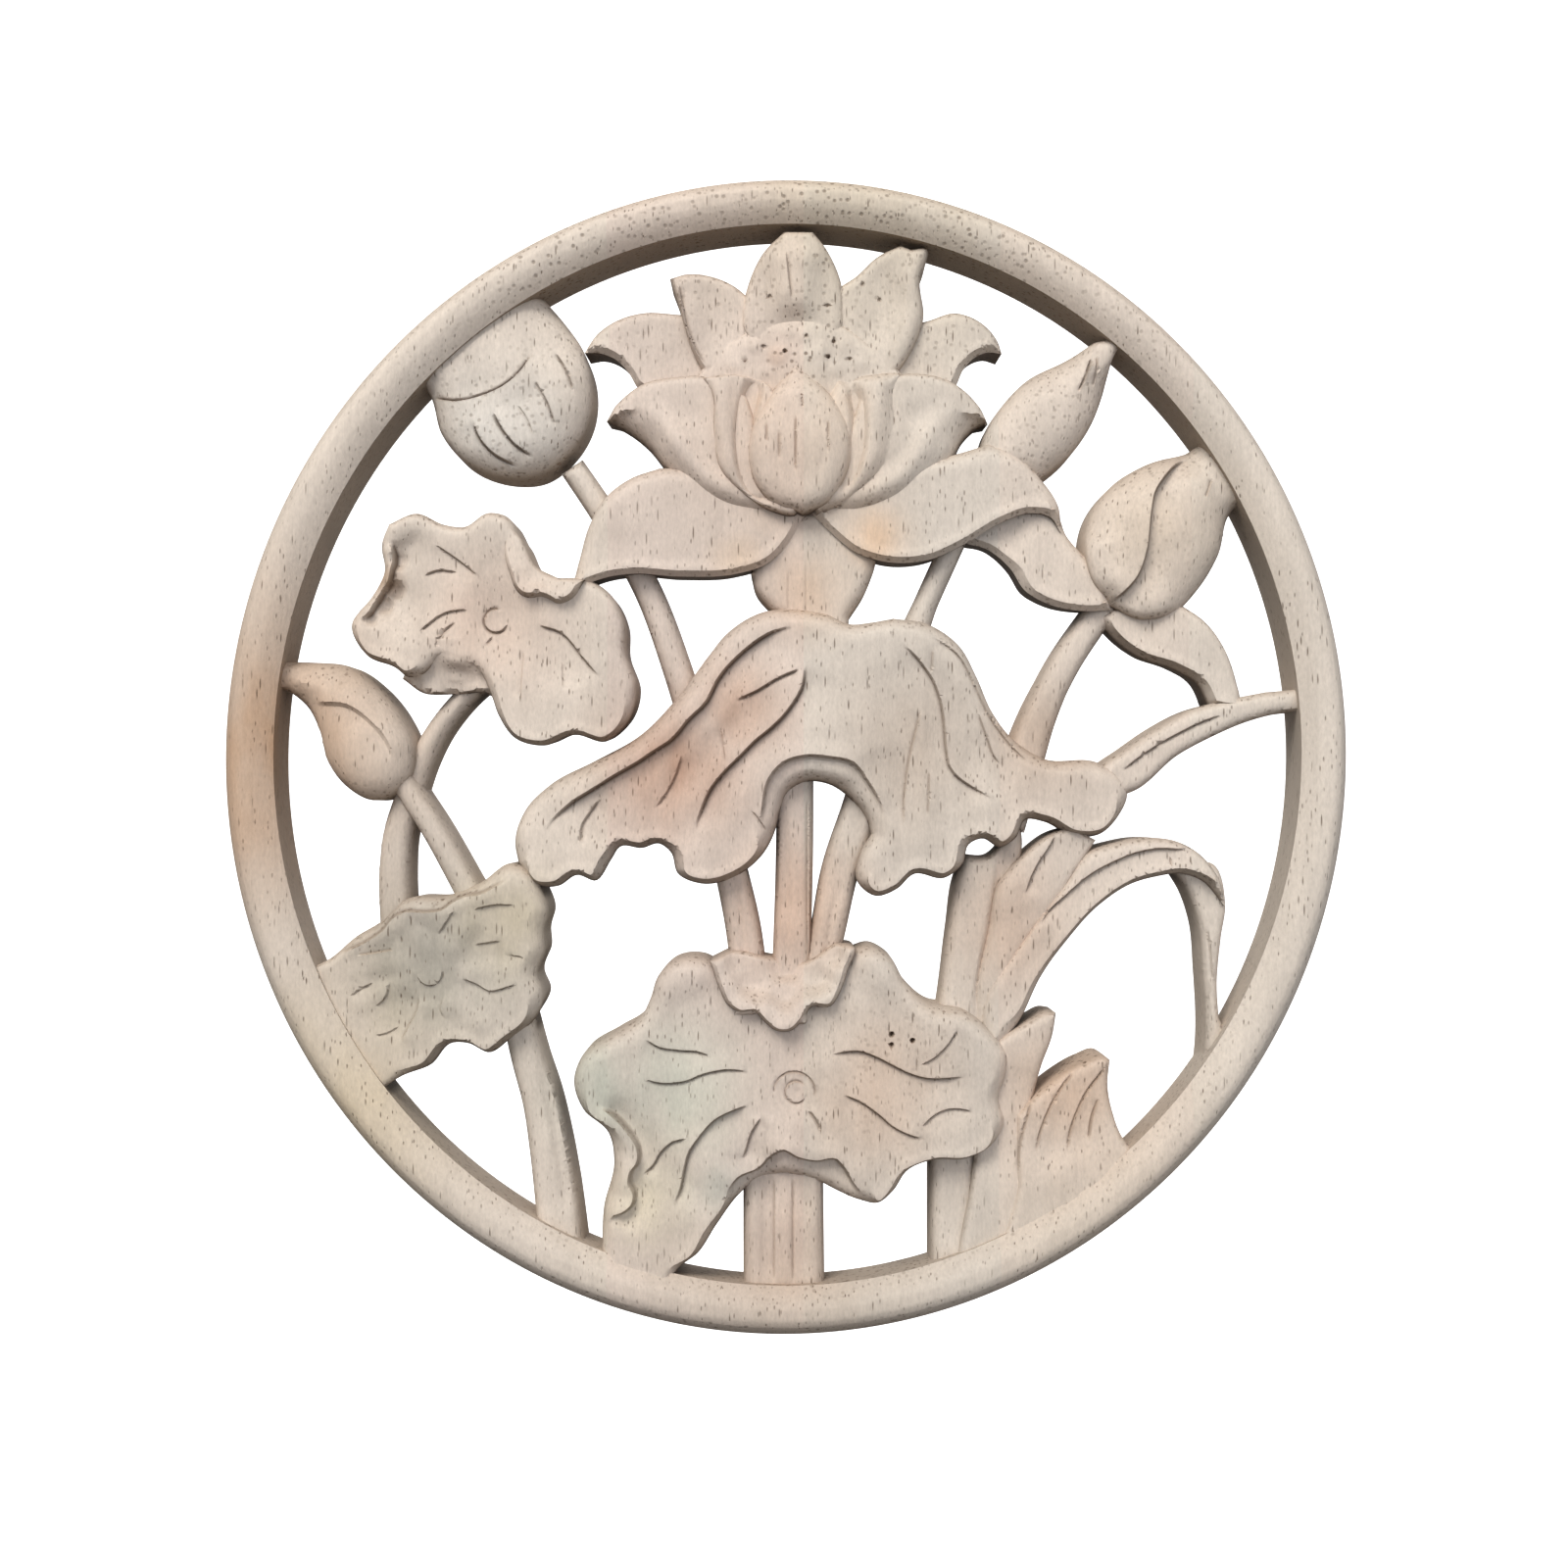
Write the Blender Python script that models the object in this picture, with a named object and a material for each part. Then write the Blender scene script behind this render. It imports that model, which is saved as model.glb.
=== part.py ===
# Carved wooden applique: an openwork roundel of a lotus flower, four buds, four lotus leaves, stems and
# grass inside a ring, cut from one glued-up board of pale wood.
# The roundel stands upright in the XZ plane. Its flat back lies at Y = 0 and the carving faces -Y.

import math

import bmesh
import bpy
import numpy as np
from mathutils.geometry import delaunay_2d_cdt

for old in list(bpy.data.objects):
    bpy.data.objects.remove(old)

# Driving dimensions, in metres
ring_width = 0.200
ring_height = 0.206

ring_lean = math.radians(4.8)      # the ring's long axis leans to the right at the top
ring_face = 0.0089                 # width of the ring seen from the front
ring_crown = 0.015                 # height of the ring's rounded face above the back
ring_wall = 0.0105                 # height of the ring's straight inner wall
ring_side = 0.0065                 # height of the ring's straight outer side
ring_shift = (0.0003, 0.0004)      # the inner wall's edge sits this far right and up in the outer side
ring_foot_shift = (0.0003, -0.0003)  # and the foot of that wall this far
ring_segments = 96

wood_colour = (0.60, 0.49, 0.38)   # linear RGB of pale rubber-wood
wood_roughness = 0.62

# Millimetres serve for everything below
mm = 0.001
outline_step = 3.2                 # longest chord along a curve
chord_error = 0.17                 # a curve's chords stay this close to it
curve_samples = 12                 # points read from each span of a curve before it is thinned
lattice = 7.0                      # spacing of the points inside an outline
lattice_row = 0.87                 # spacing of its rows, as a share of that
lattice_room = 0.4                 # room between the lattice and a rounded edge, as a share of the spacing
rim_fit = (0.9, 1.1)               # a rim point stays if it is this share of the width from the outline
merge_distance = 1e-5
below_back = 1.0                   # shapes run this far past the back, which is then cut flat
waste_size = 250.0                 # side of the block that cuts the back flat
smooth_angle = math.radians(35)

# Outlines are drawn as they look from the front, on a plane 10 mm above the back and from 320 mm off.
# At its own height above the back a shape is smaller or larger by the ratio of the two distances.
eye_distance = 320.0
eye_level = -9.0
drawing_height = 10.0


def at_height(points, height):
    """Move points drawn on the drawing plane along their lines of sight to a height above the back."""
    ratio = (eye_distance - height) / (eye_distance - drawing_height)
    middle = np.array((0.0, eye_level))
    return (np.array(points, float) - middle) * ratio + middle


def curve(points, closed=False):
    """A smooth curve through the points: cubic Hermite spans with chord-length tangents."""
    p = np.array(points, float)
    if closed:
        ends = np.vstack((p[-1:], p, p[:2]))
    else:
        ends = np.vstack((2 * p[0] - p[1], p, 2 * p[-1] - p[-2]))
    spans = np.linalg.norm(np.diff(ends, axis=0), axis=1)[:, None]
    slopes = np.diff(ends, axis=0) / spans
    tangents = (slopes[:-1] * spans[1:] + slopes[1:] * spans[:-1]) / (spans[1:] + spans[:-1])
    run = []
    for i in range(len(ends) - 3):
        a, b, length = ends[i + 1], ends[i + 2], spans[i + 1]
        t = np.linspace(0, 1, curve_samples, endpoint=False)[:, None]
        run.append((2 * t**3 - 3 * t**2 + 1) * a + (t**3 - 2 * t**2 + t) * length * tangents[i]
                   + (3 * t**2 - 2 * t**3) * b + (t**3 - t**2) * length * tangents[i + 1])
    if not closed:
        run.append(p[-1:])
    return np.vstack(run)


def thinned(points):
    """Keep the points of a run that its shape needs, and none further apart than the outline step."""
    kept = [0]
    while kept[-1] < len(points) - 1:
        start = kept[-1]
        end = start + 1
        for i in range(start + 2, len(points)):
            chord = points[i] - points[start]
            length = np.linalg.norm(chord)
            off = points[start + 1:i] - points[start]
            error = np.abs(off[:, 0] * chord[1] - off[:, 1] * chord[0]).max() / max(length, 1e-9)
            if error > chord_error or length > outline_step:
                break
            end = i
        kept.append(end)
    return points[kept]


def outline(runs):
    """A closed outline, counter-clockwise, from runs of points that meet at sharp corners."""
    if len(runs) == 1:
        smooth = curve(runs[0], closed=True)
        points = thinned(np.vstack((smooth, smooth[:1])))[:-1]
    else:
        parts = [thinned(curve(run + after[:1]))[:-1] for run, after in zip(runs, runs[1:] + runs[:1])]
        points = np.vstack(parts)
    x, z = points.T
    area = np.sum(x * np.roll(z, -1) - np.roll(x, -1) * z)
    return points if area > 0 else points[::-1]


def edge_distance(points, loop):
    """Each point's distance to a closed outline, and which of the outline's points is the nearest."""
    start, end = loop, np.roll(loop, -1, axis=0)
    side = end - start
    away = points[:, None] - start[None]
    t = np.clip(np.sum(away * side, axis=2) / np.sum(side * side, axis=1), 0, 1)
    gap = np.linalg.norm(away - t[..., None] * side, axis=2)
    nearest = gap.argmin(axis=1)
    along = t[np.arange(len(points)), nearest]
    return gap.min(axis=1), np.where(along > 0.5, (nearest + 1) % len(loop), nearest)


def inside(points, loop):
    """Whether each point lies inside a closed outline, by counting the sides that a ray crosses."""
    start, end = loop, np.roll(loop, -1, axis=0)
    x, z = points[:, :1], points[:, 1:]
    spans = (start[:, 1] > z) != (end[:, 1] > z)
    rise = np.where(end[:, 1] == start[:, 1], 1.0, end[:, 1] - start[:, 1])
    crossing = start[:, 0] + (z - start[:, 1]) / rise * (end[:, 0] - start[:, 0])
    return np.sum(spans & (x < crossing), axis=1) % 2 == 1


def outward(loop):
    """Unit vectors pointing out of a counter-clockwise outline at each of its points."""
    along = np.roll(loop, -1, axis=0) - np.roll(loop, 1, axis=0)
    out = np.column_stack((along[:, 1], -along[:, 0]))
    return out / np.linalg.norm(out, axis=1)[:, None]


def surface(points, spots, softness):
    """Height at each point: the spots' heights, weighted by closeness to each spot."""
    spots = np.array(spots, float)
    if len(spots) == 1:
        return np.full(len(points), spots[0, 2])
    gaps = np.sum((points[:, None] - spots[None, :, :2])**2, axis=2)
    weights = 1 / (gaps + softness**2)**2
    return weights @ spots[:, 2] / weights.sum(axis=1)


def finished(mesh):
    """Turn a mesh's faces outward and shade it smooth, with its sharp edges kept."""
    turned = bmesh.new()
    turned.from_mesh(mesh)
    bmesh.ops.recalc_face_normals(turned, faces=turned.faces)
    turned.to_mesh(mesh)
    turned.free()
    mesh.shade_smooth()
    mesh.set_sharp_from_angle(angle=smooth_angle)
    return mesh


def closed_mesh(name, loop, inner, heights):
    """A solid with a shaped top over the outline, upright walls and a flat underside."""
    points = np.vstack((loop, inner)) if len(inner) else loop
    count = len(loop)
    sides = [(i, (i + 1) % count) for i in range(count)]
    _, _, faces, *_ = delaunay_2d_cdt([tuple(p) for p in points], sides, [], 1, merge_distance)
    mesh = bpy.data.meshes.new(name)
    top = np.column_stack((points[:, 0], -heights, points[:, 1]))
    bottom = np.column_stack((loop[:, 0], np.full(count, below_back), loop[:, 1]))
    walls = [(j, i, len(points) + i, len(points) + j) for i, j in sides]
    underside = [tuple(len(points) + i for i in reversed(range(count)))]
    mesh.from_pydata((np.vstack((top, bottom)) * mm).tolist(), [], list(faces) + walls + underside)
    return finished(mesh)


shapes = bpy.data.collections.new("shapes")


def carve(name, runs, spots, edge=(1.5, 2.5), lower_edge=None, softness=4.0):
    """One carved form. An edge's drop and width say how far and over what distance it rounds away."""
    spots = [(*at_height([(x, z)], height)[0], height) for x, z, height in spots]
    drawn_at = np.mean([height for _, _, height in spots]) - edge[0] / 2
    loop = at_height(outline(runs), drawn_at)
    out = outward(loop)
    facing_down = np.clip(-out[:, 1], 0, 1)
    low = np.array(lower_edge or edge)
    drop = edge[0] + (low[0] - edge[0]) * facing_down
    width = edge[1] + (low[1] - edge[1]) * facing_down
    rim = loop - out * width[:, None]
    gap, nearest = edge_distance(rim, loop)
    rim = rim[inside(rim, loop) & (gap > rim_fit[0] * width[nearest]) & (gap < rim_fit[1] * width)]
    low_corner, high_corner = loop.min(axis=0), loop.max(axis=0)
    x, z = np.meshgrid(np.arange(low_corner[0], high_corner[0], lattice),
                       np.arange(low_corner[1], high_corner[1], lattice * lattice_row))
    x = x + (np.arange(len(x))[:, None] % 2) * lattice / 2
    grid = np.column_stack((x.ravel(), z.ravel()))
    grid = grid[inside(grid, loop)]
    gap, nearest = edge_distance(grid, loop)
    grid = grid[gap > width[nearest] + lattice * lattice_room]
    inner = np.vstack((rim, grid))
    points = np.vstack((loop, inner))
    gap, nearest = edge_distance(points, loop)
    reach = np.clip(gap / width[nearest], 0, 1)
    heights = surface(points, spots, softness) - drop[nearest] * (1 - np.sqrt(1 - (1 - reach)**2))
    shape = bpy.data.objects.new(name, closed_mesh(name, loop, inner, heights))
    shapes.objects.link(shape)


def stem(name, path, widths, spots, edge):
    """A stem: a strip of the given widths along a smooth path, with rounded sides."""
    middle = curve(path)[::3]
    along = np.gradient(middle, axis=0)
    out = np.column_stack((along[:, 1], -along[:, 0])) / np.linalg.norm(along, axis=1)[:, None]
    half = np.interp(np.linspace(0, 1, len(middle)), np.linspace(0, 1, len(widths)), widths)[:, None] / 2
    right, left = (middle + out * half).tolist(), (middle - out * half)[::-1].tolist()
    carve(name, [right[:-1], right[-1:], left[:-1], left[-1:]], spots, edge)


# The ring

def ring_oval(half_width, half_height, shift):
    """Points of one oval of the ring, in metres; the oval's long axis leans by the ring's lean."""
    turn = np.arange(ring_segments) * 2 * math.pi / ring_segments - ring_lean
    x, z = half_width * np.cos(turn), half_height * np.sin(turn)
    lean_cos, lean_sin = math.cos(ring_lean), math.sin(ring_lean)
    return np.column_stack((x * lean_cos + z * lean_sin, z * lean_cos - x * lean_sin)) + shift


def ring():
    """The ring: a profile from the inner wall over the rounded face to the outer side, round an oval."""
    profile = [(0, -below_back * mm), (0, ring_wall), (0.10, 0.0137), (0.30, ring_crown), (0.50, ring_crown),
               (0.70, 0.0138), (0.86, 0.0108), (1, ring_side), (1, -below_back * mm)]
    rows = []
    for across, height in profile:
        inset = ring_face * (1 - across)
        shift = np.array(ring_foot_shift if height < 0 else ring_shift) * (1 - across)
        oval = ring_oval(ring_width / 2 - inset, ring_height / 2 - inset, shift)
        rows.append(np.column_stack((oval[:, 0], np.full(ring_segments, -height), oval[:, 1])))
    faces = []
    for row in range(len(profile)):
        below = (row + 1) % len(profile)
        for i in range(ring_segments):
            j = (i + 1) % ring_segments
            faces.append((row * ring_segments + i, row * ring_segments + j,
                          below * ring_segments + j, below * ring_segments + i))
    mesh = bpy.data.meshes.new("carved_panel")
    mesh.from_pydata(np.vstack(rows).tolist(), [], faces)
    return finished(mesh)


# Edges: how far the surface drops at the outline, and the width over which it does, in millimetres
soft_edge = (3.0, 3.0)
crisp_edge = (4.0, 1.4)
petal_edge = (1.5, 1.8)
bud_edge = (5.5, 8.0)
stem_edge = (3.0, 2.2)

# Stems

stem("stem_top_left_bud", [(-38.2, 52), (-32.8, 44), (-24.5, 29.5), (-19.5, 16), (-13.8, -4), (-9.6, -21),
                           (-7.7, -30), (-6.2, -42)], (4.6, 5.0, 5.6, 6.6), [(-20, 10, 8.5)], stem_edge)
stem("stem_flower", [(1.5, 22), (1.5, -20), (1.0, -44)], (6.6, 6.8), [(1.5, -20, 9.0)], stem_edge)
stem("stem_upper_right_bud", [(33.4, 46), (28.4, 35), (24.0, 25), (18.3, 8), (13.9, -8), (9.8, -20),
                              (7.7, -30), (5.7, -42)], (4.2, 4.2, 7.0, 6.6, 5.6), [(10, -15, 8.5)],
     stem_edge)
stem("stem_right_bud", [(55.2, 25), (49.8, 17), (45.3, 8), (41.8, -2), (38.4, -12)], (5.0, 5.6, 8.4),
     [(45, 8, 9.0)], stem_edge)
carve("stem_right_middle",
      [[(31.8, -17.2), (30.2, -21), (28.8, -30), (27.3, -42)], [(26, -50)], [(34, -50)],
       [(36.2, -36), (38.6, -28), (40.4, -21), (41.6, -17.5), (41.0, -12)],
       [(38.6, -12), (37.8, -15.6), (36, -17.2)]],
      [(33, -30, 9.0)], stem_edge)
carve("stem_right_low",
      [[(25.6, -72.6)], [(25.6, -92)], [(34, -92)], [(34, -72.6)]],
      [(29, -80, 9.0)], stem_edge)
stem("stem_upper_left_leaf", [(-56.0, 11.5), (-60.9, 6), (-64.1, 0.5), (-66.9, -7), (-68.8, -14),
                              (-69.3, -20), (-68.9, -31)], (3.4, 4.2, 5.4, 6.2), [(-68, -12, 8.0)],
     stem_edge)
stem("stem_left_bud", [(-69, -2), (-66.6, -6.3), (-62.9, -12), (-57, -22.5)], (4.6, 4.6, 5.2),
     [(-62, -12, 10.0)], stem_edge)
stem("stem_lower_left_leaf", [(-48.1, -44), (-45.8, -53.5), (-43.6, -61), (-42.2, -68), (-41.0, -76),
                              (-39.8, -86)], (5.6, 6.8, 8.2), [(-43, -60, 9.5)], stem_edge)
stem("stem_bottom", [(-0.5, -68), (-0.3, -93)], (14.2, 14.4), [(0, -80, 9.0)], stem_edge)

# Lotus flower: back petals, the heart behind the middle petal, then the petals in front

carve("petal_back_left",
      [[(-35.6, 71.6), (-32.6, 71.4), (-30, 70.3), (-28.2, 68.6)], [(-26.5, 65.8), (-18, 60)], [(-12, 68)],
       [(-12, 78), (-19.5, 78.6), (-25, 78.8), (-30, 77.3), (-33.5, 74.8)]],
      [(-31, 74.5, 10.0), (-24, 73, 9.5), (-18, 70, 9.0)], petal_edge, crisp_edge)
carve("petal_back_right",
      [[(38.2, 71.4), (37.6, 73.4), (34.5, 77), (30, 78.7), (24.8, 77.3)], [(16, 76)], [(18, 60)],
       [(27, 61), (30.4, 66.3), (31.3, 68.4), (33.4, 70.7), (35.6, 71.6)]],
      [(33, 75, 10.0), (26, 73, 9.5), (22, 68, 9.0)], petal_edge, crisp_edge)
carve("petal_top_left",
      [[(-20.5, 84.7), (-19.3, 81.5), (-18, 76.5), (-16.3, 71.5), (-13.5, 67)], [(-4, 70)],
       [(-5, 80), (-8.5, 83.2), (-13, 85.2), (-17.5, 85.6)]],
      [(-17.5, 80, 12.0), (-12, 80, 10.6), (-8, 79, 10.2), (-13, 84, 11.4)], petal_edge)
carve("petal_top_right",
      [[(20.3, 90.6), (16, 88.5), (12.5, 85.4), (9, 83)], [(8, 72)], [(18, 66), (22, 71.5), (24.4, 78),
       (23.7, 84), (24.8, 90)], [(22, 89.8)]],
      [(22, 86, 12.0), (22, 77, 11.4), (16, 81, 10.6), (12, 78, 10.2)], petal_edge)
carve("petal_top",
      [[(-0.3, 92.9), (-4.2, 89), (-6.8, 83.5), (-7.6, 76)], [(-4, 70)], [(8, 70)],
       [(10.3, 77), (9.6, 85), (7, 90.2)], [(4.8, 92.9)]],
      [(1.5, 76, 10.8), (1.5, 83, 12.8), (1.5, 90, 12.8), (-5, 82, 11.4), (8, 82, 11.4)], petal_edge)
carve("flower_heart",
      [[(-16.5, 66.5), (-12.2, 72.2), (-7.3, 75.5), (-1.7, 77.6), (4.5, 78.1), (10, 76.7), (14.5, 73.6),
       (20.5, 68)], [(14, 50), (2, 46), (-9, 50)]],
      [(2.5, 76.5, 11.4), (-9, 72, 11.2), (12, 72, 11.2), (2.5, 69, 13.8), (-6, 66, 12.6), (11, 66, 12.6)],
      (1.2, 2.5))
carve("petal_low_left",
      [[(-38.6, 27.6), (-36.5, 29.8), (-33, 31.4), (-27, 32.4), (-19, 31.9), (-9, 32.4), (-3.5, 34.2),
        (0.5, 38.0), (3.6, 43.6)], [(-4, 50), (-16, 51.5)], [(-22.5, 51.3), (-27.5, 49.5), (-31.5, 46.6),
        (-35, 41), (-36.6, 35.5)]],
      [(-34, 36, 12.0), (-28, 43, 13.0), (-18, 40, 12.6), (-8, 38.5, 11.8), (0, 41.5, 10.8)],
      soft_edge, crisp_edge)
carve("petal_low_right",
      [[(4.2, 43.8), (8, 39.9), (12.5, 36.3), (18, 34.5), (25, 34.8), (31.5, 37.6), (38, 41.4), (43, 43.1),
        (46.8, 42.4)], [(48.7, 39.8), (48.6, 44), (45, 49.8), (40, 54.3)], [(36, 55.6), (30, 53.8)],
       [(18, 52)]],
      [(44, 46, 12.6), (37, 50, 13.0), (28, 46, 12.8), (19, 41, 12.4), (10, 42, 11.2)],
      soft_edge, crisp_edge)
carve("petal_side_left",
      [[(-32.2, 60.5), (-29.6, 59.3), (-25.0, 55.8), (-21.1, 50.9), (-17, 46.2), (-12, 43.4), (-5, 42.2)],
       [(2.8, 43.4)], [(-4, 52), (-9, 66)], [(-16, 67.8), (-26.4, 65.9), (-29.5, 63.6)]],
      [(-29, 61, 10.4), (-24, 60.5, 12.0), (-18, 56, 13.4), (-17, 63, 12.4), (-13, 49, 13.2),
       (-6, 45, 12.8)],
      (1.2, 1.8), (4.5, 4.5))
carve("petal_side_right",
      [[(36.3, 60), (35, 61.9), (32.6, 64.6), (30.4, 66.2), (21, 68)], [(14, 66), (9, 52)], [(4.4, 43.4)],
       [(10, 42.2), (17, 42.7), (22.5, 45), (26.4, 48.3), (29.4, 52), (31.8, 56.7), (34, 59)]],
      [(33.5, 61, 10.4), (28.5, 61, 12.0), (23, 56, 13.4), (23, 63, 12.4), (18, 48, 13.2), (11, 45, 12.8)],
      (1.2, 1.8), (4.5, 4.5))
carve("petal_inner_left",
      [[(-14.9, 67.4), (-13.1, 64), (-13, 57), (-11.6, 50.8), (-8, 46.8), (-3.5, 44.1), (1.8, 43.1)],
       [(2, 48), (0, 60), (-4, 67)], [(-9, 68)]],
      [(-11.4, 60, 14.4), (-10, 53, 14.4), (-6.5, 60, 13.0), (-7, 66, 13.0), (-5, 49, 14.2), (-2, 46, 13.6)],
      (2.0, 1.4))
carve("petal_inner_right",
      [[(5.4, 43.1), (10.7, 44.8), (15.3, 47.6), (18.6, 52), (20.2, 57.5), (19.8, 64), (20.8, 67.9)],
       [(14, 68)], [(9, 67), (5, 60), (3.5, 48)]],
      [(18.2, 60, 14.4), (16.5, 53, 14.4), (12.8, 60, 13.0), (13.5, 66, 13.0), (12, 49, 14.2),
       (8, 46, 13.6)],
      (2.0, 1.4))
carve("petal_middle",
      [[(3.0, 43.3), (-2, 46.1), (-5.1, 50.4), (-6.3, 56), (-4.8, 62), (-1.6, 67.4)], [(2.4, 71.2),
       (6.4, 67.4), (10.2, 62), (11.7, 56), (10.3, 49.4), (7.4, 45.4)]],
      [(2.6, 56, 16.0), (2.6, 48.5, 15.6), (2.6, 63, 15.2), (2.6, 70, 13.8)], (2.4, 5.0))
carve("flower_base",
      [[(-6.2, 32.6), (-5.4, 29.6), (-2.8, 26.4)], [(3, 22), (11, 22)],
       [(11.2, 24.8), (14.3, 29.8), (16, 35.6)], [(8, 44), (0, 42)]],
      [(3, 28, 9.8), (3, 38, 9.8)], (2.4, 2.4))

# Buds and their leaves

carve("bud_top_left",
      [[(-43, 81.6), (-39.5, 77.6), (-36.3, 73), (-34.4, 67.5), (-34.9, 60), (-38.2, 54.2), (-43.5, 50.2),
        (-50.7, 49.9), (-56.7, 52.3), (-61.4, 57.7), (-63.5, 64.9)], [(-66, 68), (-58, 76), (-48, 84)]],
      [(-50, 57, 13.6), (-48, 66, 13.0), (-44, 75, 11.8), (-57, 66, 12.0), (-40, 63, 13.2)], bud_edge)
carve("bud_upper_right",
      [[(54.4, 73.2), (49.5, 70.6), (43, 67.2), (38.3, 62.4), (35.3, 57.6), (35, 50)], [(44.8, 48.8),
       (50.3, 53.4), (54.1, 58.7), (56.5, 64.6), (57.8, 70.6)], [(60, 74)]],
      [(46, 60, 13.0), (40, 56, 12.4), (53, 68, 12.0)], (5.0, 7.0))
carve("bud_right_leaf_left",
      [[(57.4, 25.9), (52, 25.8), (46.6, 26.9), (42.3, 29.4), (39.7, 33.4), (35.8, 36.8), (31.5, 38.4)],
       [(34, 42)], [(44, 42.2), (48.6, 39.6), (52.5, 36.2)], [(58, 32)]],
      [(38, 40, 9.6), (45, 36, 11.0), (52, 31, 11.4)], soft_edge, crisp_edge)
carve("bud_right_leaf_low",
      [[(55.5, 25), (58.2, 21.4), (63, 17.8), (69, 15.6), (73, 13.2)], [(75.2, 9), (80.6, 9), (79.9, 13.2),
       (77.7, 19.3), (74.2, 24)], [(70, 27), (62, 28)]],
      [(61, 24, 11.4), (70, 20, 12.0), (77, 13, 11.0)], (1.6, 1.8), (7.0, 2.2))
carve("bud_right",
      [[(57.2, 26.9), (62.8, 24.4), (68.8, 25.6), (73.6, 30.2), (77.0, 35.9), (79.2, 44)], [(82.5, 46),
       (78, 57)], [(71.5, 54.2), (63.6, 51.9), (57.5, 47.9), (54.0, 42.8), (52.9, 37), (53.8, 31.6)]],
      [(65, 40, 14.6), (62, 31, 13.6), (70, 47, 14.0), (57, 40, 13.4), (73, 36, 13.4)], bud_edge)
carve("bud_left",
      [[(-93, 16.4), (-84, 17), (-77.5, 16.2), (-72.3, 12.6), (-68.2, 7.6), (-65.7, 1.4), (-66.3, -3.1),
        (-69.4, -6.7), (-73.1, -7.6), (-78.0, -5.1), (-81.2, -1.0), (-83.2, 5.2), (-85.6, 9.4),
        (-89.1, 12.2)], [(-93, 12.4)]],
      [(-73, 2, 13.2), (-75, 10, 12.4), (-83, 14, 11.0), (-90, 15, 10.6)], (4.5, 6.0))

# Leaves

carve("leaf_upper_left_fold",
      [[(-50.5, 8.6), (-52.8, 11.2), (-58, 11.3), (-64.8, 11.6)], [(-68.1, 14.0), (-64, 20), (-52, 20)]],
      [(-58, 18.5, 11.6), (-58, 12.4, 6.0), (-52, 14, 8.0), (-65, 14, 8.0)], (0.4, 1.0), softness=2.0)
carve("leaf_upper_left",
      [[(-70.4, 41.4), (-71.8, 38), (-71.2, 33), (-73.6, 28.4), (-77.0, 23.3), (-74.2, 18.0), (-69.2, 15.9),
        (-67, 14.3), (-64.2, 14.8), (-61, 17.8), (-58.2, 16.7), (-55, 16), (-52.2, 11), (-51.0, 7.6),
        (-48.0, 3.4), (-43.0, 2.1), (-37.3, 4.0), (-32.0, 2.8), (-27.8, 6.5), (-26.5, 12.6), (-28.4, 18.6),
        (-28.6, 23.8), (-30.7, 28.5), (-35.2, 31.6)], [(-40.5, 31.9), (-44.4, 34), (-46.9, 38.8),
        (-49.3, 42.6), (-52.6, 43.3), (-57, 40.9), (-60.6, 41.3), (-65.4, 43.3)]],
      [(-74, 23.5, 13.4), (-70.5, 33, 12.8), (-68, 41, 13.2), (-60, 39.5, 13.2), (-51, 41, 13.8),
       (-69, 28, 10.6), (-67, 36, 11.0), (-60, 33, 12.0), (-51.5, 24.3, 11.4), (-47, 34, 13.8),
       (-39, 29.6, 13.8), (-32, 24, 13.2), (-30, 12, 13.4), (-40, 7, 13.6), (-49, 11, 13.4),
       (-41, 18, 12.2), (-60, 20, 12.6), (-67, 17, 13.6)],
      (2.2, 2.0), (4.5, 1.4))
carve("leaf_lower_left",
      [[(-86, -37), (-80.5, -35.5), (-76.3, -31.8), (-71.9, -29.1), (-67, -25.0), (-60.6, -24.6),
        (-54.2, -22.2), (-48.2, -18.7), (-45.4, -20), (-43.2, -23.5), (-42.0, -27), (-42.8, -30.6),
        (-42.6, -34), (-44.0, -38.4), (-42.8, -42), (-44.0, -45.6), (-49.0, -50.0), (-52.6, -52.4),
        (-56.6, -50.8), (-59.5, -50.8), (-63, -54.5), (-68, -56.4)],
       [(-71.5, -58.6), (-76, -62), (-88, -46)]],
      [(-80, -42, 13.4), (-73, -53, 13.2), (-78, -35.5, 13.0), (-63, -38.4, 11.4), (-71, -44, 12.0),
       (-60, -28, 13.2), (-49, -22, 13.4), (-46, -32, 13.2), (-54, -36, 11.8), (-47, -43, 13.4),
       (-52, -49, 13.4), (-59, -46, 12.4), (-66, -52, 13.4)],
      soft_edge, crisp_edge)
carve("leaf_middle_fold",
      [[(-6, -14), (-2.2, -13.6), (-1.3, -10), (0.2, -6), (3.6, -4.1), (7.6, -4.5), (12.3, -8), (14.4, -11)],
       [(18, -10), (14, -2), (6, 4), (-3, 1)]],
      [(4, -0.5, 12.6), (4, -4, 6.6), (-3, -5, 12.2), (-1, -10, 8.0), (13, -3, 11.8), (13, -9, 8.0)],
      (0.4, 1.0), softness=2.0)
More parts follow.
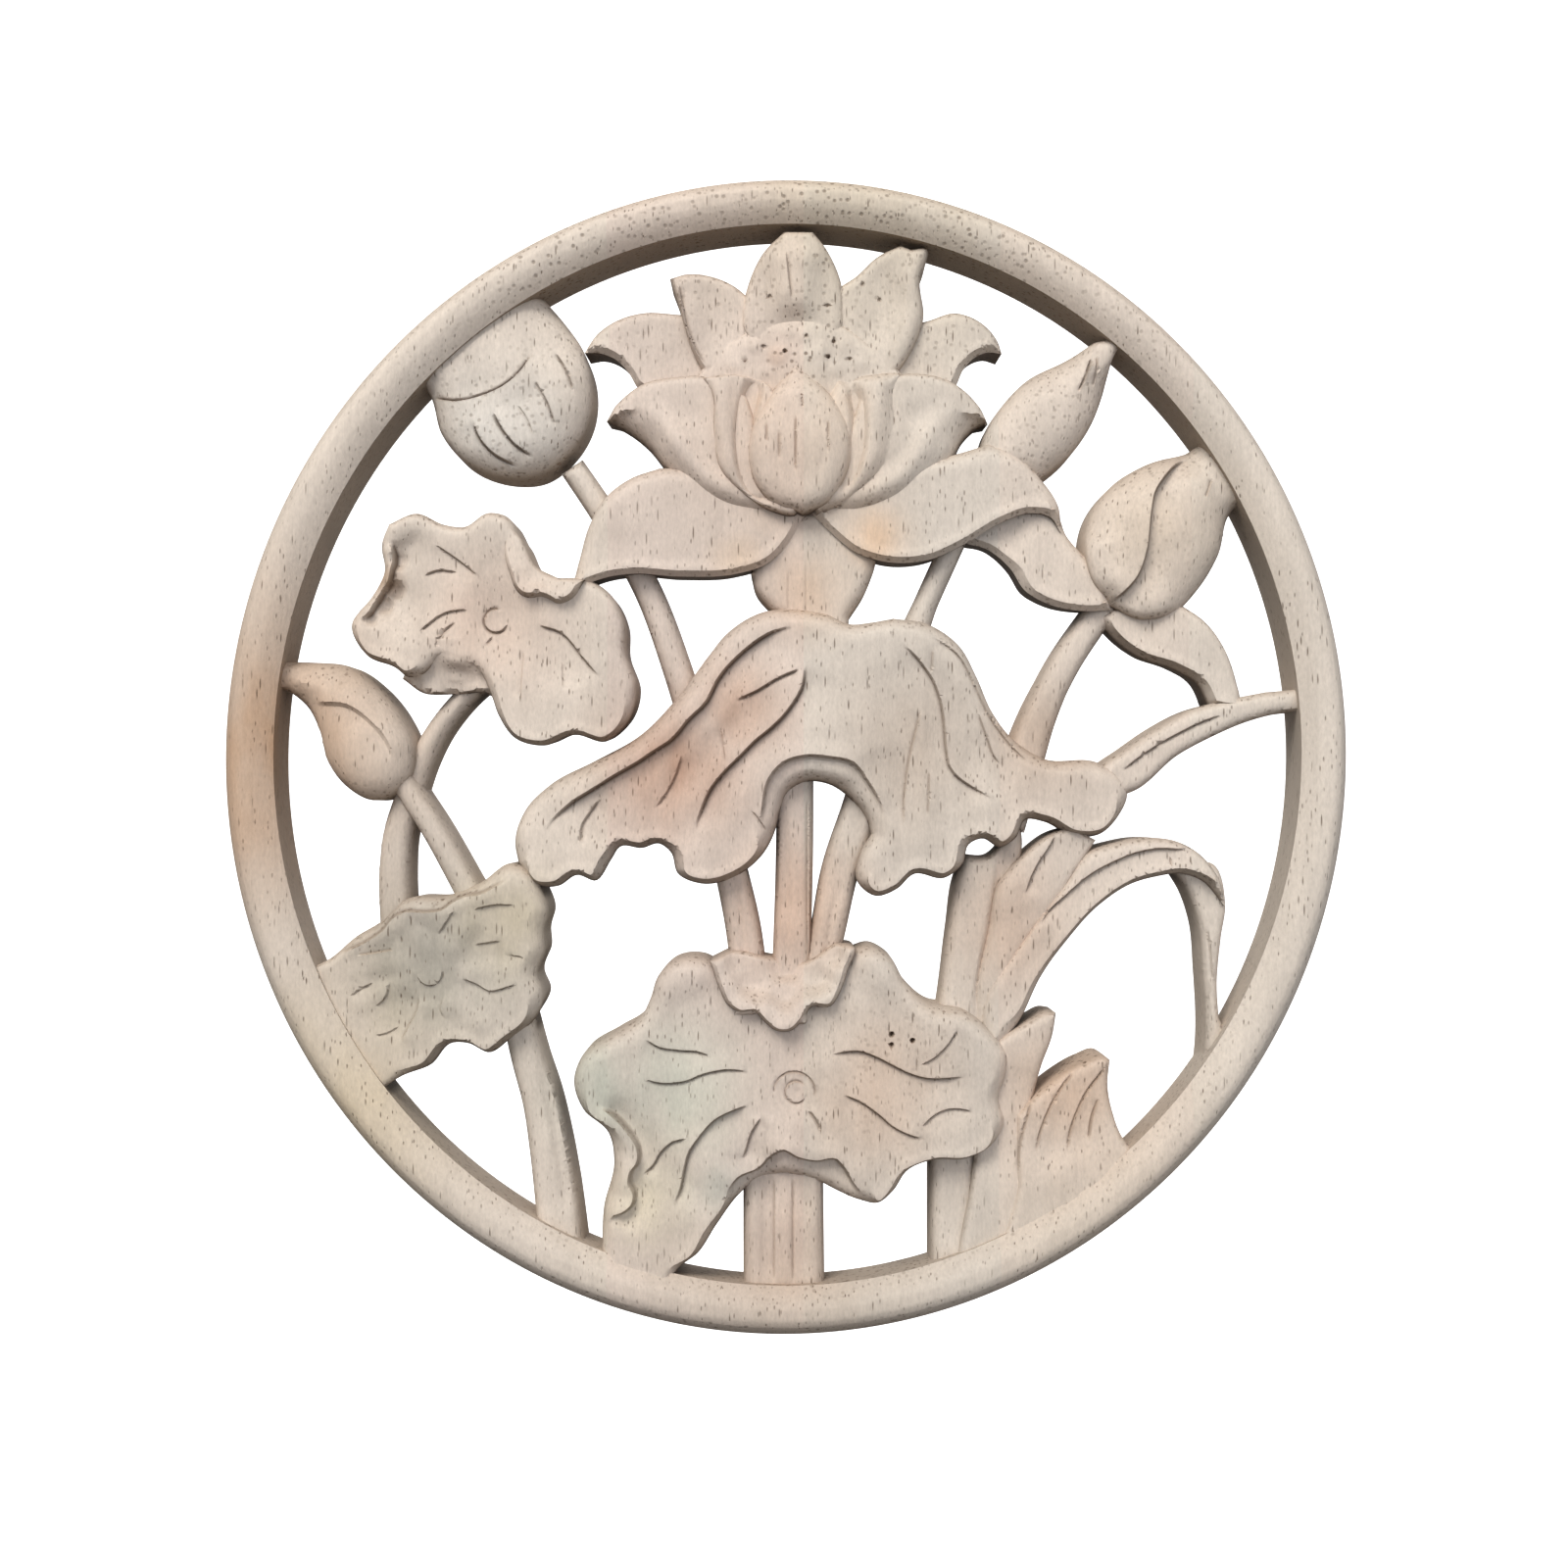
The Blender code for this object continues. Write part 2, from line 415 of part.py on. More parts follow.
carve("leaf_middle",
      [[(-14.1, 17.7), (-19.4, 10.5), (-25.8, 4.0), (-33.8, -0.5), (-42, -4.8), (-46.4, -9.2), (-48.2, -15)],
       [(-47.6, -18.8), (-44.6, -22.6), (-40.4, -22.8), (-37.2, -20.9), (-33.8, -21.9), (-31.3, -18.5),
        (-29.4, -15.8), (-25.6, -16.1), (-22.6, -15.3), (-20.5, -16.8), (-19.2, -20.6), (-15, -22.4),
        (-8.2, -20.7), (-3.8, -16.8), (-2.4, -13.4)], [(-3.6, -9.4), (-2.6, -4), (-0.4, -1.4), (3.2, -0.2),
        (7.6, -0.4), (11.8, -1.2), (14, -4.4), (16.9, -8.6)], [(17.7, -10.6), (15.8, -13.6), (13.2, -17.4),
        (12.6, -21.8), (16, -24.6), (19.7, -23.4), (22.8, -20.7), (28.2, -21.4), (31.5, -18.8),
        (32.6, -15.4), (35, -14.4), (38, -15.9), (40.8, -14.4), (42.8, -11), (46, -11.4), (51, -13.9),
        (56, -13.6), (59.4, -10.2), (60.8, -6.4), (58.6, -2.4), (55, -0.7), (46, -0.2), (40.8, 3.0),
        (36.7, 8.2), (34, 14.2), (30.8, 19.9), (25, 23.8)], [(19.1, 24.7), (15.2, 24), (11.3, 23.7)],
       [(7.4, 25.4), (2.6, 26.2), (-4.2, 25.8), (-10.3, 22.3)]],
      [(3, 22, 13.4), (19, 21, 13.4), (-12, 18, 12.0), (-30, 0, 12.4), (-44, -8, 11.6), (-46, -16, 12.6),
       (-43, -20, 13.4), (-35, -19, 13.2), (-36, -12, 12.2), (-26, -8, 12.8), (-23, -14, 13.0),
       (-14, -18, 14.0), (-8, -16, 13.8), (-18, -8, 13.0), (-6, -4, 13.6), (-8, 6, 13.4), (3, 4, 14.6),
       (12, 4, 14.4), (4, 13, 13.8), (19, 6, 13.2), (18, -4, 12.8), (16, -19, 13.6), (24, -17, 13.6),
       (27, -6, 13.6), (30, 6, 12.4), (28, 16, 12.8), (36, -12, 13.4), (36, 0, 11.8), (46, -7, 12.8),
       (55, -6, 12.8)],
      soft_edge, crisp_edge)
carve("leaf_bottom_fold",
      [[(-12, -82.4), (-9.6, -80.2), (-5.4, -76.4), (-1, -74.8), (3.6, -75.2), (9, -77.2), (15, -79.7)],
       [(16, -74), (8, -69), (-2, -67), (-12, -74)]],
      [(0, -70.5, 12.4), (0, -74.2, 6.6), (9, -73, 11.4), (9, -76.6, 7.0), (-8, -74.8, 12.6),
       (-8, -78, 9.0)], (0.4, 1.0), softness=2.0)
carve("leaf_bottom",
      [[(-32.6, -88), (-32.4, -80), (-30.6, -71.8), (-31.6, -66.6), (-35.9, -62.7), (-37.6, -57.2),
        (-35.8, -52.4), (-30, -48.6), (-25.6, -45.8), (-24, -42.6), (-22.7, -38.8), (-19.6, -35.8),
        (-14.8, -35.4), (-10.6, -38)], [(-6, -41), (6, -41)], [(11, -34.4), (15, -33.3), (18.1, -34.9),
        (21.2, -39.8), (25.2, -43.4), (31.5, -44.7), (36, -48.2), (39.2, -52.6), (39, -56.4), (37.8, -60.4),
        (38.7, -64.6), (36.6, -68.8), (32, -71.2), (26, -71.4), (22, -74.6), (18.8, -78.8), (15.3, -79.7),
        (12.4, -75.4), (9.6, -71.2), (4.6, -71.8), (0.4, -69.8), (-2.6, -70.6), (-5.6, -74.6),
        (-9.8, -80.3), (-13, -85.6), (-17.4, -89.9)], [(-20, -97), (-30, -96)]],
      [(-22, -92, 14.4), (-29, -84, 13.6), (-28, -75, 12.8), (-22, -74, 11.6), (-33, -58, 13.0),
       (-27, -52, 12.6), (-18, -38, 13.2), (-17, -48, 12.6), (-20, -63, 12.4), (-12, -59, 12.8),
       (-14, -72, 13.4), (-19, -83, 13.2), (1.3, -59, 12.0), (0, -68, 13.4), (8, -68, 13.0),
       (16, -75, 13.8), (16, -66, 13.0), (24, -69, 13.4), (34, -67, 13.6), (28, -60, 12.6),
       (36, -54, 13.4), (28, -48, 13.6), (18, -38, 13.4), (16, -48, 13.2), (8, -55, 12.6)],
      soft_edge, crisp_edge)
carve("leaf_bottom_flap",
      [[(-12.8, -38.2), (-11.4, -43.6), (-8.8, -46.5), (-4.6, -46.3), (-0.3, -48.6), (3.4, -47),
        (6, -44.7), (8.8, -44.2), (10.8, -40.2), (12, -35)], [(-11.4, -36)]],
      [(0, -46, 14.4), (-8, -43, 14.0), (8, -41.5, 14.0), (0, -39, 12.0), (0, -35, 9.4)],
      (0.6, 1.0), (1.4, 1.0))

# Grass at the right

carve("blade_top",
      [[(52, -8), (62, -5.8), (69.5, 0.4), (75, 3.4), (82, 6.8), (91, 9.2)], [(95, 9)], [(94, 11.8)],
       [(85, 11.0), (79, 10.0), (72, 8.3), (66, 5.3), (60.6, 1.7), (55, -2.6)]],
      [(60, -1, 11.6), (75, 7, 11.4), (90, 10.4, 11.0)], (1.8, 1.8))
carve("blade_second",
      [[(35.2, -52), (35.0, -42)], [(38.6, -30), (40.6, -19.4)], [(42.0, -17.4), (44.2, -15.4),
       (46.8, -13.6), (50, -12.6)], [(54.8, -14.6), (51, -20.6), (46.6, -27.6), (43, -34), (40.6, -40)]],
      [(44, -20, 11.4), (41, -34, 10.6), (38, -48, 10.0)], (1.4, 1.6))
carve("blade_arch_tail",
      [[(68, -19), (70.9, -24), (72.4, -29), (73.1, -38), (73.4, -52)], [(73, -60), (84, -48)],
       [(76, -45), (76.3, -40), (77.2, -32), (78, -26), (76, -19)]],
      [(75, -30, 9.4), (75, -50, 9.4)], (2.0, 1.8))
carve("blade_arch",
      [[(37.8, -53), (41.6, -47), (45.3, -39.3), (50.2, -32.3), (55.9, -26.1), (61.5, -22.4), (66, -21.1),
        (70.2, -20.6), (74, -21.9)], [(77.9, -26.4), (76.8, -21.8), (73.6, -17.4), (69, -14.8), (64, -14.2),
        (59, -14.9), (53.4, -16.9)], [(49.6, -22), (44, -31), (38, -42)]],
      [(70, -17.6, 12.4), (60, -18, 12.2), (50, -26, 11.8), (42, -40, 11.0)], (1.6, 1.8))
carve("blade_short",
      [[(36, -51), (40.4, -48.2), (43.6, -46.3), (46.2, -45.1)], [(47.9, -45.3), (47.3, -49), (45.2, -55),
       (43.8, -61), (42.6, -70), (42, -84)], [(42, -91), (32, -93)], [(33, -74)]],
      [(44, -51, 11.4), (40, -60, 10.6), (38, -84, 12.0)], (1.4, 1.6))
carve("blade_low",
      [[(41, -63.4), (44.3, -60), (48.4, -56.7), (53, -54.1), (56.6, -53.1)], [(57.6, -53.7), (57.2, -58),
       (58, -62.8), (60, -67.8)], [(66, -72), (54, -84), (38, -91)], [(41, -76)]],
      [(53, -57, 11.6), (48, -66, 11.8), (52, -76, 13.4), (44, -82, 13.0)], (1.4, 1.6))

# One solid: the ring joined with every shape, then cut flat at the back

wood = bpy.data.materials.new("pale_rubber_wood")
wood.use_nodes = True
shader = wood.node_tree.nodes["Principled BSDF"]
shader.inputs["Base Color"].default_value = (*wood_colour, 1)
shader.inputs["Roughness"].default_value = wood_roughness
shader.inputs["Metallic"].default_value = 0

bpy.context.scene.collection.children.link(shapes)
for shape in shapes.objects:
    shape.hide_render = True
    shape.display_type = "WIRE"

panel = bpy.data.objects.new("carved_panel", ring())
panel.data.materials.append(wood)
bpy.context.scene.collection.objects.link(panel)

waste_mesh = bpy.data.meshes.new("waste_behind")
waste = bpy.data.objects.new("waste_behind", waste_mesh)
block = bmesh.new()
bmesh.ops.create_cube(block, size=waste_size * mm)
block.to_mesh(waste_mesh)
block.free()
waste.location.y = waste_size * mm / 2
waste.hide_render = True
waste.display_type = "WIRE"
bpy.context.scene.collection.objects.link(waste)

joined = panel.modifiers.new("joined", "BOOLEAN")
joined.operation = "UNION"
joined.operand_type = "COLLECTION"
joined.collection = shapes
joined.solver = "EXACT"
flat_back = panel.modifiers.new("flat_back", "BOOLEAN")
flat_back.operation = "DIFFERENCE"
flat_back.object = waste
flat_back.solver = "EXACT"
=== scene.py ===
# Carved wooden applique: an openwork roundel of a lotus flower, four buds, four lotus leaves, stems
# and grass inside a ring, in raw rubber-wood. It hangs upright, its flat back at Y = 0, facing -Y.
import math

import bmesh
import bpy
import numpy as np
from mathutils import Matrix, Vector
from mathutils.geometry import delaunay_2d_cdt


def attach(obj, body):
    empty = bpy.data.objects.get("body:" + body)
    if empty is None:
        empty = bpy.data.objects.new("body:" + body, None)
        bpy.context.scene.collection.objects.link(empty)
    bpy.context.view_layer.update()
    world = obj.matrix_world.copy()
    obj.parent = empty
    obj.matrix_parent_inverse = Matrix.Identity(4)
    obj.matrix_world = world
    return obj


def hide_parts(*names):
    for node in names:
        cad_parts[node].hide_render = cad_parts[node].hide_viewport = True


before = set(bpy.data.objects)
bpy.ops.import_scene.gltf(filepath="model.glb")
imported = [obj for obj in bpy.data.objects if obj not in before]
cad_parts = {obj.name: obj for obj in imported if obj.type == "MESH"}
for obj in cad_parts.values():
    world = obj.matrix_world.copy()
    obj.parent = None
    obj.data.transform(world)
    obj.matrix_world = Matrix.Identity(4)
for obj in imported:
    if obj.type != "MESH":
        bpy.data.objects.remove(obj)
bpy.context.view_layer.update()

mm = 0.001

# The forms are drawn as they look from the front, in millimetres on a plane 10 mm above the back.
# At its own height above the back a form is smaller or larger by the ratio of the distances to the eye.
drawing = {
    "eyeDistance": 320.0,
    "eyeLevel": -9.0,
    "planeHeight": 10.0,
    "pictureSide": 1600,        # pixels
    "focal": 1788,              # pixels
    "centre": (801.8, 824.8),   # the pixel straight ahead of the eye
}

# How fine the surfaces are
fineness = {
    "outlineStep": 0.6,
    "lattice": 0.7,
    "latticeRow": 0.87,
    "cellSize": 0.3,        # no two inner points share a cell of this size
    "clearOfOutline": 0.22,
    "belowBack": 1.0,       # forms run this far past the back, which is then cut flat
    "rimRows": (0.3, 0.62, 1.0),
    "rimRoom": 0.93,        # a rim point stays if it is this share of its width from the outline
    "edgeBlend": 4,         # outline points over which an edge changes from soft to crisp
    "crispBelow": 2.5,      # a lower edge narrower than this is a bevel, a wider one is rounded
    "cutStep": 0.55,
    "cutWidth": 0.75,       # the knife's width against the widths given below
    "cutEnds": (0.12, 0.18),    # shares of its length over which a cut thins out
    "cutShadeReach": 0.55,       # mm beside a cut that get painted shade
    "fullCut": 0.8,         # a cut this deep gets its darkest painted shade
    "pitShade": 0.4,         # a pit's painted shade, and more with its depth
    "edgeShadeReach": 2.4,       # mm beside a crisp lower edge whose wall gets painted shade
    "faintest": 0.15,       # segments with fainter painted shade than this darken nothing
    "hollowStep": 0.8,
    "hollowEnds": 0.28,
    "lip": (0.35, 0.3, 0.8),    # height, place and width of the fine lip inside a crisp lower edge
    "waver": 0.014,         # mm of waver left by hand work
    "undercut": 0.9,        # mm that a wall facing down leans in towards the back
    "undercutBlend": 3,
    "sliver": 0.005,        # mm: shorter edges are dissolved after the joins
    "crispAngle": 34,       # degrees from which an edge stays crisp
    "chunk": 3000,
}

# Edges: how far the surface drops at the outline, and the width over which it does so
softEdge = (3.0, 3.2)
crispEdge = (3.8, 1.1)
thinEdge = (1.1, 0.9)
petalEdge = (1.5, 1.8)
budEdge = (5.5, 8.0)
stemEdge = (3.0, 2.2)


def atHeight(points, height):
    # each point moves along its line of sight from the drawing plane to the height
    ratio = (drawing["eyeDistance"] - height) / (drawing["eyeDistance"] - drawing["planeHeight"])
    middle = np.array((0.0, drawing["eyeLevel"]))
    return (np.array(points, float) - middle) * ratio + middle


def curve(points, closed=False, samples=24):
    # cubic Hermite spans with chord-length tangents
    p = np.array(points, float)
    if closed:
        ends = np.vstack((p[-1:], p, p[:2]))
    else:
        ends = np.vstack((2 * p[0] - p[1], p, 2 * p[-1] - p[-2]))
    spans = np.linalg.norm(np.diff(ends, axis=0), axis=1)[:, None]
    slopes = np.diff(ends, axis=0) / spans
    tangents = (slopes[:-1] * spans[1:] + slopes[1:] * spans[:-1]) / (spans[1:] + spans[:-1])
    t = np.linspace(0, 1, samples, endpoint=False)[None, :, None]
    a, b = ends[1:-2, None], ends[2:-1, None]
    length = spans[1:-1, None]
    run = ((2 * t**3 - 3 * t**2 + 1) * a + (t**3 - 2 * t**2 + t) * length * tangents[:-1, None]
           + (3 * t**2 - 2 * t**3) * b + (t**3 - t**2) * length * tangents[1:, None]).reshape(-1, 2)
    return run if closed else np.vstack((run, p[-1:]))


def evenly(points, step):
    # points at even spacing along a run, both ends kept
    length = np.concatenate(([0], np.cumsum(np.linalg.norm(np.diff(points, axis=0), axis=1))))
    at = np.linspace(0, length[-1], max(2, int(round(length[-1] / step)) + 1))
    return np.column_stack((np.interp(at, length, points[:, 0]), np.interp(at, length, points[:, 1])))


def outline(runs):
    # a closed outline, counter-clockwise, from runs of points that meet at sharp corners
    step = fineness["outlineStep"]
    if len(runs) == 1:
        smooth = curve(runs[0], closed=True)
        points = evenly(np.vstack((smooth, smooth[:1])), step)[:-1]
    else:
        points = np.vstack([evenly(curve(run + after[:1]), step)[:-1]
                            for run, after in zip(runs, runs[1:] + runs[:1])])
    x, z = points.T
    area = np.sum(x * np.roll(z, -1) - np.roll(x, -1) * z)
    return points if area > 0 else points[::-1]


def edgeDistance(points, loop):
    # each point's distance to a closed outline, and the nearest of the outline's points
    start, end = loop, np.roll(loop, -1, axis=0)
    side = end - start
    gaps, nears = [], []
    for first in range(0, len(points), fineness["chunk"]):
        away = points[first:first + fineness["chunk"], None] - start[None]
        t = np.clip(np.sum(away * side, axis=2) / np.sum(side * side, axis=1), 0, 1)
        gap = np.linalg.norm(away - t[..., None] * side, axis=2)
        nearest = gap.argmin(axis=1)
        along = t[np.arange(len(away)), nearest]
        gaps.append(gap.min(axis=1))
        nears.append(np.where(along > 0.5, (nearest + 1) % len(loop), nearest))
    return np.concatenate(gaps), np.concatenate(nears)


def inside(points, loop):
    # a point is inside where a ray crosses an odd number of sides
    start, end = loop, np.roll(loop, -1, axis=0)
    rise = np.where(end[:, 1] == start[:, 1], 1.0, end[:, 1] - start[:, 1])
    results = []
    for first in range(0, len(points), fineness["chunk"]):
        x, z = points[first:first + fineness["chunk"], :1], points[first:first + fineness["chunk"], 1:]
        spans = (start[:, 1] > z) != (end[:, 1] > z)
        crossing = start[:, 0] + (z - start[:, 1]) / rise * (end[:, 0] - start[:, 0])
        results.append(np.sum(spans & (x < crossing), axis=1) % 2 == 1)
    return np.concatenate(results)


def outward(loop):
    along = np.roll(loop, -1, axis=0) - np.roll(loop, 1, axis=0)
    out = np.column_stack((along[:, 1], -along[:, 0]))
    return out / np.linalg.norm(out, axis=1)[:, None]


def loopSmoothed(values, reach):
    # a running mean round a closed loop
    return sum(np.roll(values, shift) for shift in range(-reach, reach + 1)) / (2 * reach + 1)


def fieldOf(points, spots, softness):
    # the spots' heights, weighted by closeness to each spot
    spots = np.array(spots, float)
    if len(spots) == 1:
        return np.full(len(points), spots[0, 2])
    gaps = np.sum((points[:, None] - spots[None, :, :2])**2, axis=2)
    weights = 1 / (gaps + softness**2)**2
    return weights @ spots[:, 2] / weights.sum(axis=1)


def lineDistance(points, line):
    # signed distance to an open line, positive to its left, and the nearest point's share of its length
    side = np.diff(line, axis=0)
    lengths = np.linalg.norm(side, axis=1)
    starts = np.concatenate(([0], np.cumsum(lengths)))
    signed, along = [], []
    for first in range(0, len(points), fineness["chunk"]):
        away = points[first:first + fineness["chunk"], None] - line[None, :-1]
        t = np.clip(np.sum(away * side, axis=2) / lengths**2, 0, 1)
        off = away - t[..., None] * side
        gap = np.linalg.norm(off, axis=2)
        nearest = gap.argmin(axis=1)
        row = np.arange(len(away))
        turn = side[nearest, 0] * away[row, nearest, 1] - side[nearest, 1] * away[row, nearest, 0]
        signed.append(gap[row, nearest] * np.where(turn >= 0, 1, -1))
        along.append((starts[nearest] + t[row, nearest] * lengths[nearest]) / starts[-1])
    return np.concatenate(signed), np.concatenate(along)


def fadeIn(t):
    t = np.clip(t, 0, 1)
    return t * t * (3 - 2 * t)


# A cut is (points, depth, width, step, reach): a V groove of that depth and half width along a smooth
# line, which thins out at both ends, and a step that raises the ground on the line's left and fades away
def cutRelief(points, cut):
    line, depth, width, step, reach = cut
    signed, along = lineDistance(points, line)
    gap = np.abs(signed)
    start, end = fineness["cutEnds"]
    thin = fadeIn(along / start) * fadeIn((1 - along) / end)
    groove = -depth * np.clip(1 - gap / width, 0, 1)**1.3 * thin
    slope = 0.5 * step * np.clip(signed / width, -1, 1) * np.exp(-(gap / reach)**2) * thin
    return groove + slope


def cutPoints(cut):
    line, _, width, *_ = cut
    across = outwardOf(line)
    return np.vstack([line + across * width * share for share in (0, -1, 1, -0.45, 0.45)])


def outwardOf(line):
    along = np.gradient(line, axis=0)
    return np.column_stack((along[:, 1], -along[:, 0])) / np.linalg.norm(along, axis=1)[:, None]


cutSegments, lowEdges = [], []
eighths = np.array([(math.cos(turn * math.pi / 4), math.sin(turn * math.pi / 4)) for turn in range(8)])


def segmentsOf(cut):
    # a cut's short segments, with how much painted shade each gets: less in a shallow cut and at its
    # thin ends
    line, depth, *_ = cut
    start, end = fineness["cutEnds"]
    along = np.linspace(0, 1, len(line) - 1)
    thin = fadeIn(along / start + 0.1) * fadeIn((1 - along) / end + 0.1)
    dark = min(1, depth / fineness["fullCut"]) * thin
    return np.column_stack((line[:-1], line[1:], dark))


# One carved form: its top is the field of heights, less the drop of its rounded or bevelled edge, with
# its cuts, hollows, pits and knobs; walls run down past the back, and a flat underside closes it
def carve(name, form):
    edge, lowerEdge = form["edge"], form.get("lowerEdge")
    spots = [(*atHeight([(x, z)], height)[0], height) for x, z, height in form["heights"]]
    meanHeight = np.mean([height for _, _, height in spots])
    loop = atHeight(outline(form["outline"]), meanHeight - edge[0] / 2)
    out = outward(loop)
    facingDown = loopSmoothed(np.clip(-out[:, 1] * 1.5, 0, 1), fineness["edgeBlend"])
    low = lowerEdge or edge
    drop = edge[0] + (low[0] - edge[0]) * facingDown
    width = edge[1] + (low[1] - edge[1]) * facingDown
    bevel = facingDown * (low[1] < fineness["crispBelow"]) * (lowerEdge is not None)
    for x, z, reach, rollDrop, rollWidth in form.get("rolls", ()):
        share = np.exp(-(np.linalg.norm(loop - atHeight([(x, z)], meanHeight), axis=1) / reach)**4)
        drop, width, bevel = (old + (new - old) * share
                              for old, new in ((drop, rollDrop), (width, rollWidth), (bevel, 0)))
    rims = []
    for share in fineness["rimRows"]:
        rim = loop - out * width[:, None] * share
        gap, nearest = edgeDistance(rim, loop)
        rims.append(rim[inside(rim, loop) & (gap > fineness["rimRoom"] * share * width[nearest])])
    cuts = [(evenly(atHeight(curve(points), meanHeight), fineness["cutStep"]), depth,
             halfWidth * fineness["cutWidth"], *rest)
            for points, depth, halfWidth, *rest in form.get("cuts", ())]
    # the cuts' lines, for the painted shade in them
    cutSegments.extend(segmentsOf(cut) for cut in cuts)
    lineSpots = [cutPoints(cut) for cut in cuts]
    pits = [(atHeight([(x, z)], meanHeight), radius, depth)
            for x, z, radius, depth in form.get("pits", ())]
    for middle, radius, depth in pits:
        lineSpots.append(np.vstack([middle] + [middle + radius * share * eighths for share in (0.5, 1)]))
        # a pit's painted shade, deeper with its depth
        cutSegments.append(np.column_stack((middle, middle + 0.05, [fineness["pitShade"] + depth])))
    # the crisp lower edges, for the painted shade on the walls under them
    if lowerEdge:
        lowEdges.append(np.column_stack((loop, np.roll(loop, -1, axis=0), facingDown)))
    corner, far = loop.min(axis=0), loop.max(axis=0)
    step = form.get("lattice", fineness["lattice"])
    x, z = np.meshgrid(np.arange(corner[0], far[0], step),
                       np.arange(corner[1], far[1], step * fineness["latticeRow"]))
    x = x + (np.arange(len(x))[:, None] % 2) * step / 2
    grid = np.column_stack((x.ravel(), z.ravel()))
    inner = np.vstack(lineSpots + rims + [grid])
    cells = np.floor(inner / fineness["cellSize"]).astype(int)
    _, first = np.unique(cells, axis=0, return_index=True)
    inner = inner[np.sort(first)]
    inner = inner[inside(inner, loop)]
    gap, _ = edgeDistance(inner, loop)
    inner = inner[gap > fineness["clearOfOutline"]]

    points = np.vstack((loop, inner))
    gap, nearest = edgeDistance(points, loop)
    reach = np.clip(gap / width[nearest], 0, 1)
    rounded = 1 - np.sqrt(1 - (1 - reach)**2)
    bevelled = 1 - reach
    shape = rounded + (bevelled - rounded) * bevel[nearest]
    lipHeight, lipPlace, lipWidth = fineness["lip"]
    lip = lipHeight * bevel[nearest] * np.exp(-((gap - width[nearest] - lipPlace) / lipWidth)**2)
    heights = fieldOf(points, spots, form.get("softness", 4.0)) - drop[nearest] * shape + lip
    heights += handWork(points) * np.clip(gap / 2, 0, 1)
    for cut in cuts:
        heights = heights + cutRelief(points, cut)
    for hollow in form.get("hollows", ()):
        heights = heights - hollowDepth(points, hollow, meanHeight)
    for middle, radius, depth in pits:
        away = np.linalg.norm(points - middle, axis=1) / radius
        heights = heights - depth * np.clip(1 - away**2, 0, 1)
    for x, z, reach, height in form.get("knobs", ()):
        away = np.linalg.norm(points - atHeight([(x, z)], meanHeight), axis=1) / reach
        heights = heights + height * np.clip(1 - away**2, 0, 1)
    undercut = fineness["undercut"] * (lowerEdge is not None)
    lean = np.column_stack([loopSmoothed(part * facingDown, fineness["undercutBlend"])
                            for part in out.T]) * undercut
    return closedMesh(name, loop, loop - lean, inner, heights)


def hollowDepth(points, hollow, height):
    # a smooth trough along a line, or a ridge where the depth is below nothing:
    # depth * (1 - (gap / half width)^2)^2
    line, depth, halfWidth = hollow
    signed, along = lineDistance(points, evenly(atHeight(curve(line), height), fineness["hollowStep"]))
    thin = fadeIn(along / fineness["hollowEnds"]) * fadeIn((1 - along) / fineness["hollowEnds"])
    return depth * np.clip(1 - (signed / halfWidth)**2, 0, 1)**2 * thin


def handWork(points):
    # the slow waver that a hand-held gouge leaves: three crossed waves of different lengths
    x, z = points.T
    return fineness["waver"] * (np.sin(0.93 * x + 0.41 * z) + np.sin(1.7 - 0.52 * x + 0.88 * z)
                                + np.sin(0.6 + 0.24 * x - 1.37 * z))


def closedMesh(name, loop, foot, inner, heights):
    points = np.vstack((loop, inner))
    count = len(loop)
    here = np.arange(count)
    after = (here + 1) % count
    edges = np.column_stack((here, after)).tolist()
    faces = delaunay_2d_cdt(points.tolist(), edges, [], 1, 1e-5)[2]
    top = np.column_stack((points[:, 0], -heights, points[:, 1]))
    bottom = np.column_stack((foot[:, 0], np.full(count, fineness["belowBack"]), foot[:, 1]))
    walls = np.column_stack((after, here, len(points) + here, len(points) + after)).tolist()
    underside = [(len(points) + here[::-1]).tolist()]
    mesh = bpy.data.meshes.new(name)
    mesh.from_pydata((np.vstack((top, bottom)) * mm).tolist(), [], list(faces) + walls + underside)
    return facedOutward(mesh)


def facedOutward(mesh):
    turned = bmesh.new()
    turned.from_mesh(mesh)
    bmesh.ops.recalc_face_normals(turned, faces=turned.faces)
    turned.to_mesh(mesh)
    turned.free()
    return mesh


# A stem is a strip of the given widths along a smooth path
def stem(name, form):
    middle = curve(form["path"])[::4]
    widths = form["widths"]
    half = np.interp(np.linspace(0, 1, len(middle)), np.linspace(0, 1, len(widths)), widths)[:, None] / 2
    across = outwardOf(middle) * half
    right, left = (middle + across).tolist(), (middle - across)[::-1].tolist()
    return carve(name, {**form, "outline": [right[:-1], right[-1:], left[:-1], left[-1:]]})


def circle(x, z, radius, start, sweep):
    # points on an arc, with angles in degrees, counter-clockwise from the right
    angles = [math.radians(start + sweep * share / 8) for share in range(9)]
    return [(x + radius * math.cos(angle), z + radius * math.sin(angle)) for angle in angles]


